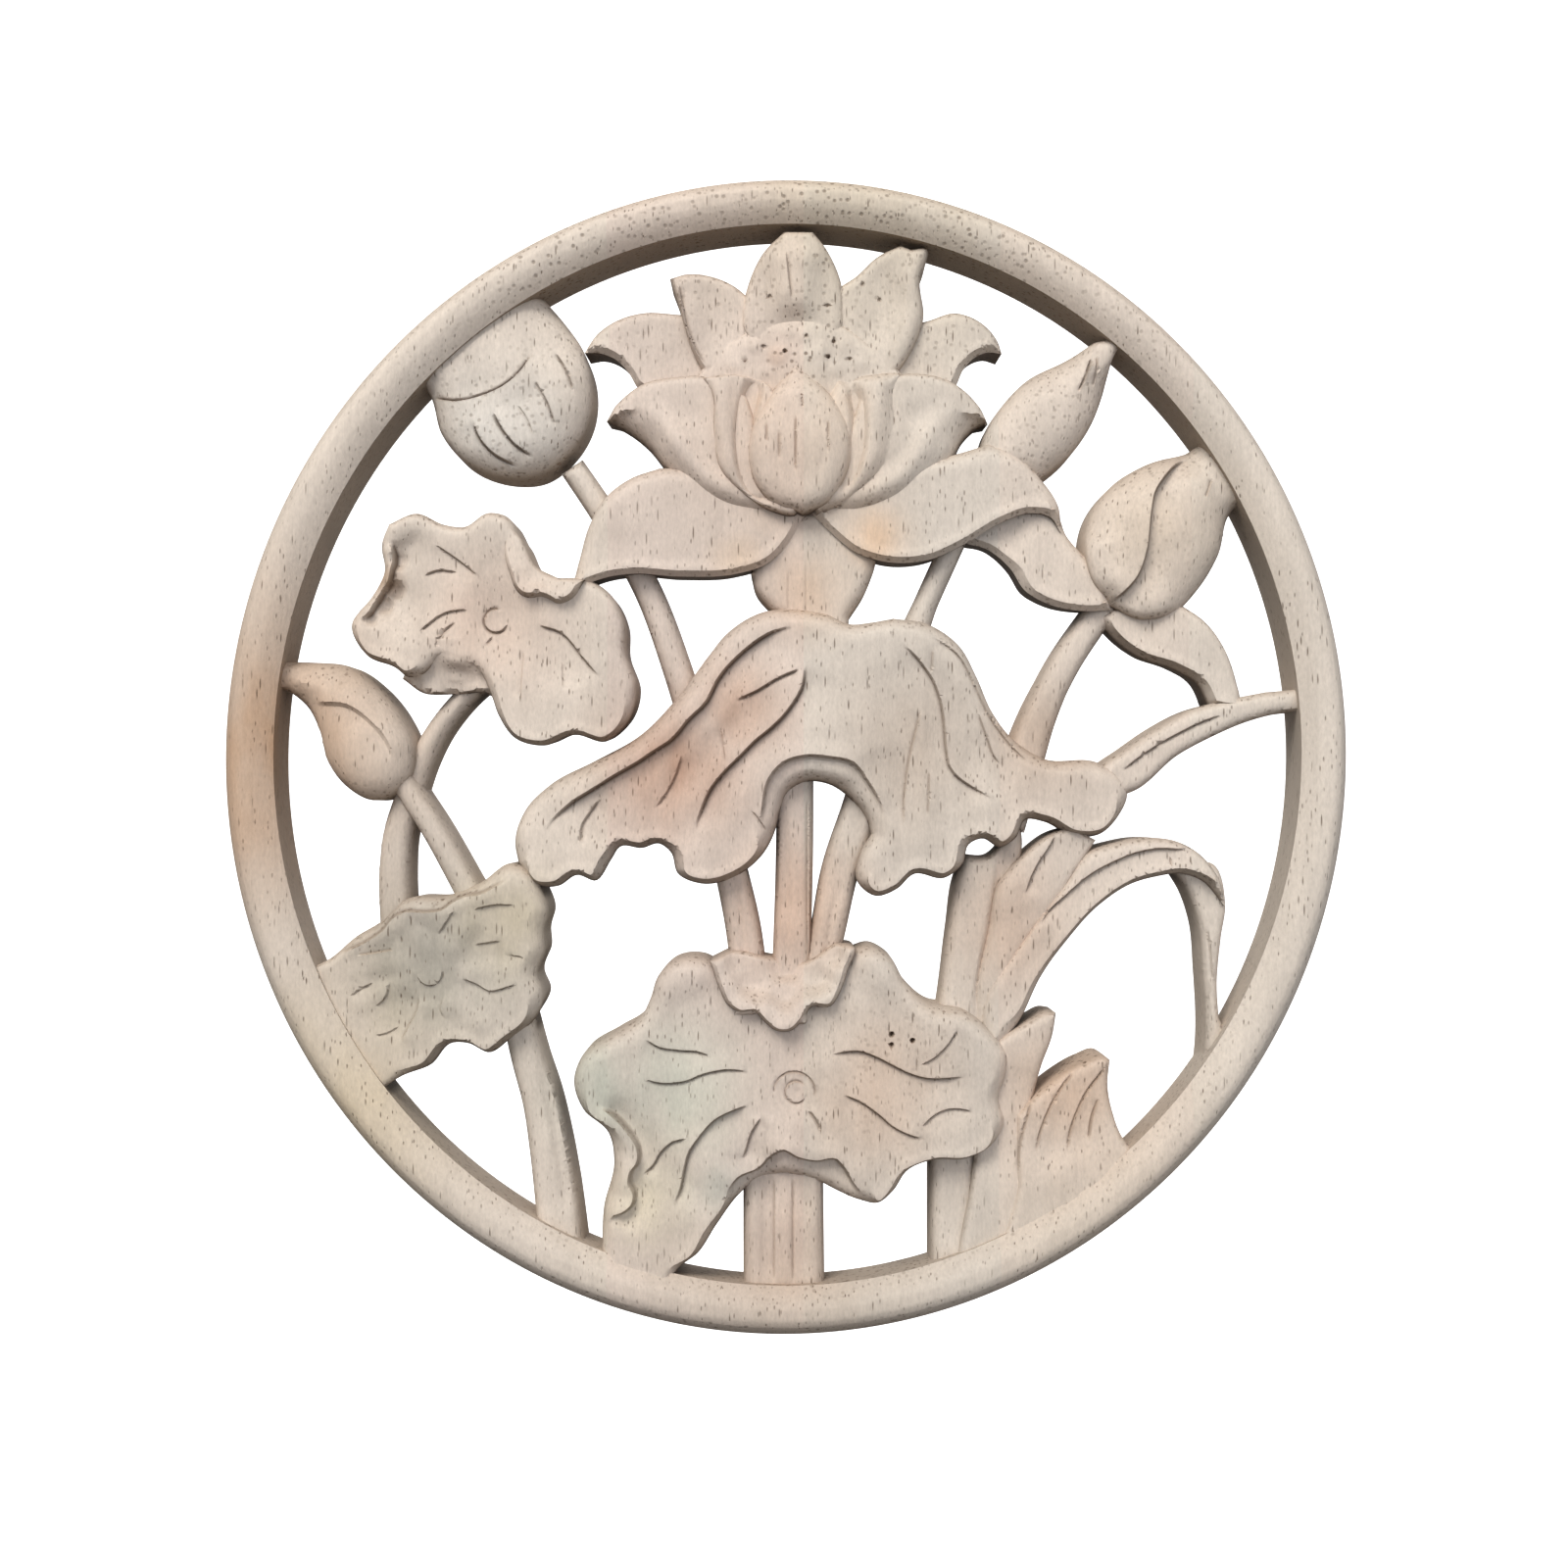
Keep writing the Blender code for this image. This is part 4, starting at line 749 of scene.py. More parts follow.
# Lotus leaves
leaves = {
    "leafUpperLeftFold": {
        "outline": [
            [(-50.5, 8.6), (-52.8, 11.2), (-58, 11.3), (-64.8, 11.6)],
            [(-68.1, 14), (-64, 20), (-52, 20)]],
        "heights": [(-58, 17.8, 12.5), (-52, 16.2, 12.3), (-65, 16, 12.5), (-60, 20.5, 12.6),
                    (-58, 14.3, 10.2), (-63, 14.2, 10.4), (-53, 13, 10.2), (-58, 11.8, 9),
                    (-52, 10.6, 8.8), (-65.6, 12.2, 9.2)],
        "edge": (1, 0.8), "lowerEdge": (1.4, 0.4), "softness": 1.2,
    },
    "leafUpperLeft": {
        "outline": [
            [(-70.4, 41.4), (-71.8, 38), (-71.2, 33), (-73.6, 28.4), (-77, 23.3), (-74.2, 18),
             (-69.2, 15.9), (-67, 14.3), (-64.2, 14.8), (-61, 17.8), (-58.2, 16.7), (-55, 16),
             (-52.2, 11), (-51, 7.6), (-48, 3.4), (-43, 2.1), (-37.3, 4), (-32, 2.8), (-27.8, 6.5),
             (-26.5, 12.6), (-28.4, 18.6), (-28.6, 23.8), (-30.7, 28.5), (-35.2, 31.6)],
            [(-40.5, 31.9), (-44.4, 34), (-46.9, 38.8), (-49.3, 42.6), (-52.6, 43.3), (-57, 40.9),
             (-60.6, 41.3), (-65.4, 43.3)]],
        "heights": [(-74, 23.5, 13.4), (-70.5, 33, 12.8), (-68, 41, 13.2), (-60, 39.5, 13.2),
                    (-51, 41, 13.8), (-69, 28, 10.6), (-67, 36, 11), (-60, 33, 12),
                    (-51.5, 24.3, 11.4), (-47, 34, 12.6), (-39, 29.6, 12.8), (-32, 24, 13.2),
                    (-30, 12, 13.4), (-40, 7, 13.6), (-49, 11, 13.4), (-41, 18, 12.2), (-60, 20, 12.6),
                    (-67, 17, 13.6)],
        "edge": (2.2, 2), "lowerEdge": (3, 0.8),
        "rolls": [(-59, 16.8, 7, 1.5, 1.8)],
        "knobs": [(-68.8, 34.9, 1.7, -1.1), (-69.2, 29.8, 1.8, -1.3), (-71.2, 27, 1.6, -1.1),
                  (-73.4, 24.4, 1.3, -0.8), (-66.2, 38.4, 1.8, -0.3)],
        "cuts": [
            ([(-69.8, 38.6), (-69.2, 36), (-69.4, 33.5), (-70, 31), (-71, 29.5), (-72.5, 27),
              (-73.2, 25.5), (-75.3, 23.8)], 0.9, 0.7, -1.8, 2.6),
            ([(-62, 37.5), (-58, 34.8), (-54.5, 32)], 0.4, 0.35, 0.5, 3),
            ([(-64, 32.3), (-62, 33), (-58.3, 32.8)], 0.4, 0.35, 0.4, 2.5),
            ([(-64.8, 22.3), (-60, 25.6), (-56, 26.2)], 0.4, 0.35, 0.5, 3),
            ([(-62, 19.8), (-60.3, 22.5), (-58.5, 24)], 0.4, 0.35, 0.4, 2.5),
            ([(-53.3, 19.8), (-52, 21.5)], 0.35, 0.35, 0.2, 2),
            ([(-44, 23.3), (-40, 22), (-36, 17.5), (-33, 14)], 0.5, 0.4, 0.6, 3.5),
            ([(-46.5, 19), (-47, 10)], 0.2, 0.4, 0.3, 3),
            ([(-39.5, 17), (-39.3, 12)], 0.2, 0.4, -0.2, 3),
            (circle(-51.5, 24.3, 2.2, 60, 300), 0.5, 0.4, 0.3, 1.5)],
    },
    "leafUpperLeftFlap": {
        "outline": [
            [(-49.9, 42.2), (-49.9, 38), (-49.8, 35.5), (-48.8, 32.3), (-48, 30), (-46.9, 28.8),
             (-45.5, 28.3), (-43.5, 28.5), (-42, 28), (-40.5, 27.2), (-38, 28)],
            [(-35.6, 31.5), (-40.5, 31.9), (-44.4, 34), (-46.9, 38.8)]],
        "heights": [(-44, 29.6, 14.9), (-39, 29, 14.8), (-48.2, 33.5, 14.5), (-46.8, 36.5, 13.6),
                    (-43, 32.4, 12.9), (-49, 40, 13.4)],
        "edge": (1.2, 0.8), "lowerEdge": (2.2, 0.7), "softness": 3,
    },
    "leafLowerLeft": {
        "outline": [
            [(-84.4, -37.4), (-80.5, -35.5), (-76.3, -31.8), (-71.9, -29.1), (-67, -25),
             (-60.6, -24.6), (-54.2, -22.2), (-48.2, -18.7), (-45.4, -20), (-43.2, -23.5), (-42, -27),
             (-42.8, -30.6), (-42.6, -34), (-44, -38.4), (-42.8, -42), (-44, -45.6), (-49, -50),
             (-52.6, -52.4), (-56.6, -50.8), (-59.5, -50.8), (-63, -54.5), (-68, -56.4)],
            [(-71.5, -58.6), (-74.3, -59.8), (-84.3, -44.2)]],
        "heights": [(-80, -42, 12.4), (-73, -53, 12.4), (-78, -35.5, 12.4), (-83, -42, 11.4),
                    (-77, -55, 11.4), (-63, -38.4, 11.8), (-71, -44, 12), (-60, -28, 13.2),
                    (-49, -22, 13.4), (-46, -32, 13.2), (-54, -36, 11.8), (-47, -43, 13.4),
                    (-52, -49, 13.4), (-59, -46, 12.4), (-66, -52, 13.2)],
        "edge": softEdge, "lowerEdge": crispEdge,
        "rolls": [(-84, -46, 16, 0.8, 1.2), (-74, -60, 8, 0.8, 1.2)],
        "knobs": [(-64, -36.6, 6.5, 0.9)],
        "hollows": [
            ([(-63, -36), (-66, -31), (-70, -29)], -0.35, 2.5),
            ([(-60.5, -36.5), (-57, -31), (-53, -27)], -0.35, 2.8),
            ([(-60, -38.5), (-54, -38), (-46, -37)], -0.3, 2.6),
            ([(-61, -41), (-57, -45), (-52, -49)], -0.35, 2.8),
            ([(-63.5, -41), (-64, -46), (-62, -52)], -0.25, 2.4),
            ([(-65.5, -39.5), (-71, -41.5), (-78, -45)], -0.35, 2.6),
            ([(-65.5, -36.5), (-72, -37), (-79, -39)], -0.25, 2.4)],
        "cuts": [
            ([(-80, -34.8), (-77, -33.6), (-74, -32.1), (-71.5, -30.3), (-70, -28.4), (-68, -27.2),
              (-63, -27), (-61, -26.7), (-59, -25.3), (-57, -24.3), (-54, -23.8), (-51, -22.3),
              (-48, -20.8)], 0.45, 0.6, -1.2, 2.4),
            ([(-69.6, -33.9), (-76, -34.9)], 0.3, 0.45, 0.5, 2.5),
            ([(-58.5, -27.2), (-61.4, -31.5)], 0.28, 0.4, -0.4, 2.5),
            ([(-55, -27), (-52.1, -26.3), (-47.8, -26.2)], 0.28, 0.4, 0.5, 3),
            ([(-55, -33.3), (-50, -32.5)], 0.25, 0.4, 0.4, 2.5),
            ([(-49.7, -34.9), (-46.2, -35.5)], 0.22, 0.35, 0.3, 2),
            ([(-57.5, -39.2), (-55, -40.2), (-52.3, -41.5), (-50, -41), (-47, -40)],
             0.28, 0.4, 0.6, 3.5),
            ([(-77, -42.3), (-75, -41), (-73, -40)], 0.28, 0.4, 0.4, 2.5),
            ([(-72.5, -44.2), (-71, -42.8), (-70.2, -41), (-70, -39.8)], 0.25, 0.35, 0.4, 2.5),
            ([(-72.5, -49.4), (-70, -48.7), (-68.5, -47.8)], 0.25, 0.4, 0.3, 2.5),
            ([(-65, -42.5), (-65.6, -45), (-67, -47.7), (-68.3, -50.5)], 0.3, 0.45, 0.6, 3.5),
            ([(-60.8, -42.5), (-61.3, -44.5), (-60.3, -46.5)], 0.15, 0.4, 0.3, 2.5),
            (circle(-63, -38.2, 2.3, 190, 200), 0.2, 0.35, 0.4, 1.5)],
    },
    "leafMiddle": {
        "outline": [
            [(-14.1, 17.7), (-19.4, 10.5), (-25.8, 4), (-33.8, -0.5), (-42, -4.8), (-46.4, -9.2),
             (-48.2, -15)],
            [(-47.6, -18.8), (-44.6, -22.6), (-40.4, -22.8), (-37.2, -20.9), (-33.8, -21.9),
             (-31.3, -18.5), (-29.4, -15.8), (-25.6, -16.1), (-22.6, -15.3), (-20.5, -16.8),
             (-19.2, -20.6), (-15, -22.4), (-8.2, -20.7), (-3.8, -16.8), (-1.9, -13)],
            [(-1.2, -10), (0.2, -6.4), (3.6, -4.3), (7.6, -4.7), (11.6, -7.4), (14.4, -11)],
            [(15.2, -13.6), (13.2, -17.4), (12.6, -21.8), (16, -24.6), (19.7, -23.4), (22.8, -20.7),
             (28.2, -21.4), (31.5, -18.8), (32.6, -15.4), (35, -14.4), (38, -15.9), (40.8, -14.4),
             (42.8, -11), (46, -11.4), (51, -13.9), (56, -13.6), (59.4, -10.2), (60.8, -6.4),
             (58.6, -2.4), (55, -0.7), (46, -0.2), (40.8, 3), (36.7, 8.2), (34, 14.2), (30.8, 19.9),
             (25, 23.8)],
            [(19.1, 24.7), (15.2, 24), (11.3, 23.7)],
            [(7.4, 25.4), (2.6, 26.2), (-4.2, 25.8), (-10.3, 22.3)]],
        "heights": [(3, 22, 13.4), (19, 21, 13.4), (-12, 18, 12), (-30, 0, 12.4), (-44, -8, 11.6),
                    (-46, -16, 12.6), (-43, -20, 13.4), (-35, -19, 13.2), (-36, -12, 12.2),
                    (-26, -8, 12.8), (-23, -14, 13), (-14, -18, 14), (-8, -16, 13.8), (-18, -8, 13),
                    (-6, -4, 13.6), (-8, 6, 13.4), (3, 4, 14.6), (12, 4, 14.4), (4, 13, 13.8),
                    (19, 6, 13.2), (18, -4, 12.8), (16, -19, 13.6), (24, -17, 13.6), (27, -6, 13.6),
                    (30, 6, 12.4), (28, 16, 12.8), (36, -12, 13.4), (36, 0, 11.8), (46, -7, 12.8),
                    (55, -6, 12.8)],
        "edge": softEdge, "lowerEdge": crispEdge,
        "rolls": [(4, -5, 7.5, 5.2, 3.4), (12.6, -9.5, 4.5, 5, 3.6), (-2, -11, 4.5, 5, 3.2)],
        "hollows": [
            ([(-43, -13), (-36, -6), (-28, -1), (-20, 5.5), (-13, 14), (-5, 22)], -0.7, 4.5),
            ([(-24, -12), (-20, -6), (-14, 0), (-7, 7), (0, 13)], 0.9, 4),
            ([(-11, -15), (-9, -9), (-4, -2), (2, 4)], -0.6, 4),
            ([(22, -16), (22, -6), (20, 6), (14, 18)], 0.6, 4),
            ([(34, -10), (32, 0), (29, 10), (23, 19)], 0.6, 3.5)],
        "cuts": [
            ([(2.2, 23.2), (-2.7, 21.8), (-7.2, 18.8), (-11.7, 13.9), (-14, 9.5), (-17, 6.5),
              (-20, 3), (-23, 1), (-26, -1), (-30, -3.3), (-34, -5.8), (-38, -8.3), (-41, -11),
              (-43.3, -14.2)], 0.9, 0.6, -1.5, 4.5),
            ([(2.6, 15.5), (-1.2, 13.9), (-5, 11.7), (-9.1, 9.8)], 0.6, 0.45, -0.7, 3),
            ([(3.7, 16.9), (2.9, 12), (1.8, 10), (0, 7.5), (-2.5, 5), (-5, 3), (-8, 0), (-11, -3),
              (-13.3, -6), (-14.8, -9.5), (-15.5, -11.5), (-15.9, -14)], 0.8, 0.55, -1.3, 4.5),
            ([(-18.3, 0.3), (-19.8, -4), (-21.5, -7), (-23.2, -9.2)], 0.4, 0.4, -0.5, 3),
            ([(-33, -7.5), (-34.8, -10), (-36, -12), (-36.3, -15.5)], 0.45, 0.45, -0.6, 3),
            ([(20.2, 20.3), (23.6, 16.9), (26.3, 12.8), (27.5, 9), (28, 5), (28.3, 1),
              (28.9, -1.8), (30, -3.3), (32, -4.8), (34, -6), (37.5, -7.9)], 0.5, 0.45, 0.9, 4.5),
            ([(25.5, 21.5), (30.4, 18.1), (33.4, 12.8), (36, 7.5), (38, 4.5), (40, 2), (42, 0),
              (44.3, -1.5)], 0.35, 0.35, 0.4, 2),
            ([(24, 9), (23, 5), (21.8, 0), (21.2, -4), (20.8, -8), (20.8, -13)], 0.35, 0.4, 0.4, 3),
            ([(34, 8), (35.8, 3), (37, 0), (38.2, -1.5)], 0.35, 0.35, 0.3, 2),
            ([(26, 19), (25.7, 15)], 0.3, 0.35, 0.2, 2),
            ([(25.3, -2.5), (25.2, -6), (25, -10.5)], 0.3, 0.35, 0.2, 2),
            ([(-11.5, 5), (-10.8, -1)], 0.25, 0.35, 0.2, 2),
            ([(-6, -9.5), (-4.5, -11.5), (-3.5, -13)], 0.3, 0.35, 0.2, 2),
            ([(-4.2, -12.6), (-3.9, -9), (-2.8, -4), (-0.4, -1.2), (3.2, 0), (7.6, -0.2),
              (11.8, -1.2), (14.2, -4.2), (16.6, -8.4), (17.6, -11.4)], 0.45, 0.6, 1.5, 2.2)],
    },
    "leafBottom": {
        "outline": [
            [(-32.6, -88), (-32.4, -80), (-30.6, -71.8), (-31.6, -66.6), (-35.9, -62.7),
             (-37.6, -57.2), (-35.8, -52.4), (-30, -48.6), (-25.6, -45.8), (-24, -42.6),
             (-22.7, -38.8), (-19.6, -35.8), (-14.8, -35.4), (-10.6, -38)],
            [(-6, -42), (6, -42)],
            [(11, -34.4), (15, -33.3), (18.1, -34.9), (21.2, -39.8), (25.2, -43.4), (31.5, -44.7),
             (36, -48.2), (39.2, -52.6), (39, -56.4), (37.8, -60.4), (38.7, -64.6), (36.6, -68.8),
             (32, -71.2), (26, -71.5), (21.6, -73.4), (19, -77.1), (16.4, -79.2), (13, -78.7),
             (8.8, -77.2), (5.2, -75.6), (-0.5, -74.4), (-4.8, -75.4), (-8.4, -78), (-12.3, -83),
             (-15.7, -88.1), (-19.5, -91)],
            [(-20.5, -95.6), (-31.5, -93.2)]],
        "heights": [(-29, -84, 13.6), (-28, -75, 12.8), (-22, -74, 11.6), (-33, -58, 13),
                    (-27, -52, 12.6), (-18, -38, 13.2), (-20, -63, 12.4), (-12, -59, 12.8),
                    (-14, -72, 13.4), (-19, -83, 13.2), (1.3, -59, 12), (8, -68, 13), (16, -66, 13),
                    (24, -69, 13.4), (34, -67, 13.6), (28, -60, 12.6), (36, -54, 13.4),
                    (28, -48, 13.6), (18, -38, 13.4), (8, -55, 12.6), (0, -67.5, 13.6),
                    (16, -74, 13.2), (-24, -91, 13.6), (6, -74, 10.8), (-4, -73.2, 11.2),
                    (-15.5, -47, 12.2), (15, -46, 12.6), (-6, -49, 11.6), (1, -51.5, 11.6),
                    (8, -48.5, 11.6), (-3, -44, 10.8), (4, -42, 10.8), (-9.5, -41.5, 11.2),
                    (9, -39.5, 11.4)],
        "edge": softEdge, "lowerEdge": crispEdge,
        "rolls": [(4, -75.4, 7, 4.6, 3.2), (-5.5, -75.6, 5, 4.4, 3.2), (12, -78.5, 4, 4, 3),
                  (-26, -97, 9, 0.6, 1.2), (-33, -77, 9, 4.5, 3)],
        "pits": [(18.7, -49, 0.6, 1.5), (18.7, -50.8, 0.5, 1.2), (22.4, -50, 0.55, 1.4)],
        "cuts": [
            ([(-25, -50), (-22.5, -51.4), (-19, -52), (-15.5, -52.3), (-13, -53.2)], 0.5, 0.4, 0.6, 3),
            ([(-25.5, -57), (-22, -57.8), (-18, -57.5), (-14, -56), (-10, -55.4), (-6, -56)],
             0.5, 0.4, 0.6, 3.5),
            ([(-6.3, -61.6), (-9.5, -62.7), (-12.5, -64.3), (-15, -67), (-17, -70), (-17.8, -73),
              (-18.5, -76.5), (-20, -80)], 0.6, 0.5, -1.2, 4.5),
            ([(-4.3, -63.8), (-6, -66.5), (-6.8, -69), (-7.5, -71.3)], 0.5, 0.45, -0.8, 3),
            ([(-17.5, -67.5), (-20, -68.2), (-22, -70), (-23.5, -72.5), (-25.5, -74.3)],
             0.5, 0.45, -0.7, 3),
            ([(4, -62.5), (5.3, -64.2), (6.2, -66)], 0.5, 0.5, 0.2, 2),
            ([(8, -53), (10.5, -52.3), (13, -52.2), (16, -53.2), (19, -54.7), (22, -56.1),
              (25, -56.9), (28.5, -56.9), (32.3, -56.5)], 0.6, 0.45, 0.9, 4),
            ([(24, -54.5), (26.5, -53), (28.5, -51), (30.6, -47.8)], 0.4, 0.4, 0.5, 3),
            ([(10, -59.8), (13, -61), (16, -63), (19, -65.5), (22, -66.9), (24.7, -67.6)],
             0.55, 0.45, 0.8, 3.5),
            ([(24, -65.5), (26, -63.6), (28.5, -62.4), (31, -62.3), (33.3, -62.8)], 0.4, 0.4, 0.6, 3),
            ([(-33, -61.4), (-31.3, -62.4), (-30, -63.4), (-28.5, -65), (-27, -67), (-26, -69),
              (-26, -71.5), (-27.3, -73.5), (-27.5, -75), (-26.6, -77), (-27, -79), (-28.5, -80.3),
              (-30.3, -81.2), (-31.4, -83)], 0.5, 0.5, -2.6, 3),
            ([(-10.5, -77.6), (-8.5, -74.6), (-4.7, -72.9), (-2.4, -70.5), (-0.5, -69.5),
              (2.1, -70.8), (5.4, -71.6), (8.8, -71.2), (10.1, -72.5), (11.8, -75.4), (14, -78.2)],
             0.5, 0.5, 2.2, 2.4),
            (circle(1.5, -59.4, 3.7, -20, 210), 0.35, 0.35, 0, 1.5),
            (circle(1.8, -59.3, 2, 30, 320), 0.35, 0.35, 0.3, 1.2)],
    },
    "leafBottomFlap": {
        "outline": [
            [(-13.4, -36), (-11.8, -40.8), (-10.3, -43.8), (-8, -45.2), (-5.4, -45.2), (-4, -46.6),
             (-1.6, -48.4), (0.8, -48.4), (2.8, -46.8), (4.6, -44.2), (8, -44), (9.6, -41.6),
             (11, -37.6), (12.2, -33.6)],
            [(8.8, -33), (3.2, -36.4), (-3, -35.6), (-9.6, -34.4)]],
        "heights": [(0, -47.2, 14.6), (-3.4, -45.4, 14.2), (-8, -44, 14.2), (-10.8, -41.4, 14),
                    (3.6, -44.2, 14.2), (8, -42.8, 14.2), (10.2, -38.6, 14), (-12.4, -37, 13.6),
                    (11.4, -34.8, 13.8), (0, -41.6, 11.6), (-6, -39.6, 11.2), (5.6, -38.8, 11.2),
                    (0, -37, 9.4), (-8, -35.6, 11.4), (8.4, -34.6, 11.4)],
        "edge": (1.2, 1), "lowerEdge": (2.4, 0.8), "softness": 1.6,
    },
}

# Grass at the right
grass = {
    "bladeTop": {
        "outline": [
            [(52, -8), (62, -5.8), (69.5, 0.4), (75, 3.4), (82, 6.4), (92, 8.4)],
            [(96, 8.4)],
            [(95, 12.4)],
            [(85, 11.6), (79, 10.4), (72, 8.6), (66, 5.5), (60.6, 1.8), (55, -2.4)]],
        "heights": [(60, -1, 11.6), (75, 7, 11.4), (90, 10.4, 11)],
        "edge": (1.8, 1.8),
        "rolls": [(94, 10.4, 5, 0.6, 1.5)],
        "cuts": [
            ([(59.3, -2.7), (62, -0.5), (66, 2.2), (70, 4.4), (74, 6.3), (78, 7.6)],
             0.5, 0.4, 0.5, 2.5)],
    },
    "bladeSecond": {
        "outline": [
            [(33.5, -54), (33.5, -42)],
            [(36, -30), (38, -22), (40.6, -18.6)],
            [(42, -17.4), (44.2, -15.4), (46.8, -13.6), (50, -12.6)],
            [(54.8, -14.6), (51, -20.6), (46.6, -27.6), (43, -34), (40.6, -40)]],
        "heights": [(44, -20, 11.4), (41, -34, 10.6), (38, -48, 10)],
        "edge": (1, 1.4),
        "rolls": [(34, -48, 8, 3.4, 4.5), (36, -34, 9, 3.2, 4.2), (38.4, -23, 5, 2.4, 3)],
        "cuts": [
            ([(47.8, -13.6), (46.5, -16), (44.8, -18.5), (43.3, -21.5), (42.4, -24.5)],
             0.45, 0.4, -0.7, 2.5)],
    },
    "bladeArchTail": {
        "outline": [
            [(68.2, -19), (71.3, -24), (73, -29), (73.9, -38), (74.2, -52)],
            [(73, -60), (80, -54)],
            [(76.8, -46), (76.5, -40), (77.2, -32), (78, -26), (76, -19)]],
        "heights": [(75, -30, 9.4), (75, -50, 9.4)],
        "edge": (2, 1.8),
        "cuts": [
            ([(74.5, -30), (75, -34), (75.5, -40)], 0.3, 0.4, 0.3, 2)],
    },
    "bladeArch": {
        "outline": [
            [(35.6, -55), (41.6, -47), (45.3, -39.3), (50.2, -32.3), (55.9, -26.1), (61.5, -22.4),
             (66, -21.1), (70.2, -20.6), (74, -21.9)],
            [(77.9, -26.4), (76.8, -21.8), (73.6, -17.4), (69, -14.8), (64, -14.2), (59, -14.9),
             (53.4, -16.9)],
            [(49.6, -22), (43, -31), (35, -44)]],
        "heights": [(70, -17.6, 12.4), (60, -18, 12.2), (50, -26, 11.8), (42, -40, 11)],
        "edge": (1.6, 1.8), "lowerEdge": (2.8, 1),
        "rolls": [(35.6, -48, 6, 2.4, 3)],
        "cuts": [
            ([(44.8, -30.5), (46.5, -27.6), (50, -24.2), (54, -20.8), (58, -18.6), (62, -17),
              (66, -16.3), (69, -16.4), (71.5, -16.6), (72.6, -17.8)], 0.5, 0.45, 0.8, 2.2),
            ([(68, -17.6), (68, -19.2)], 0.4, 0.35, 0, 1.5)],
    },
    "bladeShort": {
        "outline": [
            [(36, -51), (40.4, -48.2), (43.6, -46.3), (46.2, -45.1)],
            [(47.9, -45.3), (47.3, -49), (45.2, -55), (43.8, -61), (42.6, -70), (42, -84)],
            [(42, -91), (32, -93)],
            [(33, -74)]],
        "heights": [(44, -51, 11.4), (40, -60, 10.6), (38, -84, 12)],
        "edge": (1.4, 1.6),
    },
    "bladeLow": {
        "outline": [
            [(41, -63.4), (44.3, -60), (48.4, -56.7), (53, -54.1), (56.6, -53.1)],
            [(57.6, -53.7), (57.2, -58), (58, -62.8), (60, -67.8)],
            [(66, -72), (54, -84), (38, -91)],
            [(41, -76)]],
        "heights": [(53, -57, 11.6), (48, -66, 11.8), (52, -76, 13.4), (44, -82, 13)],
        "edge": (1.4, 1.6),
        "hollows": [
            ([(55.5, -58), (53, -64), (52.4, -72), (53, -80)], 0.3, 1.8),
            ([(50, -60), (47.6, -66), (47, -74)], 0.3, 1.6)],
        "cuts": [
            ([(51.4, -55.6), (49.6, -57.6), (47.6, -60.6), (46, -64), (44.8, -67.4), (44.2, -70.6)],
             0.45, 0.4, 0.15, 2.2),
            ([(57.2, -54.2), (55.6, -56.4), (53.6, -59), (52, -62), (50.8, -65), (50, -68.4),
              (49.8, -70.6)], 0.45, 0.4, 0.15, 2.2),
            ([(43.6, -61), (42.4, -65), (41.4, -69), (41, -74)], 0.45, 0.4, 0.15, 2.4),
            ([(55.4, -60.5), (54.2, -64), (53.6, -68)], 0.45, 0.4, 0.15, 2)],
    },
}

forms = []
for group in (stems, flower, buds, leaves, grass):
    for name, form in group.items():
        forms.append(stem(name, form) if "path" in form else carve(name, form))
print("forms:", len(forms), "faces:", sum(len(mesh.polygons) for mesh in forms))


# The ring frame. Its profile runs from the inner wall over the crown to the outer side: shares of the
# ring's width against heights above the back. The inner edge is crisp, the outer side rounds away.
ringShape = {
    "width": 200.0,
    "height": 206.0,
    "lean": 4.8,            # degrees that the long axis leans to the right at the top
    "face": 9.9,            # width seen from the front
    "foot": 0.1,            # share of the face by which the inner wall leans back to its foot
    "innerShift": (0.3, 0.4),
    "footShift": (0.3, 0.05),
    "profile": [(0, 12.9), (0.1, 13.65), (0.2, 14.25), (0.3, 14.7), (0.4, 14.95), (0.51, 15),
                (0.62, 14.7), (0.72, 13.9), (0.81, 12.5), (0.883, 10.7), (0.946, 8.6), (1, 6.5)],
    "profileStep": 0.4,
    "innerWall": [(0.77, 3.0), (0.46, 7.0)],    # points of the inner wall: shares of foot, heights
    "segments": 480,
}


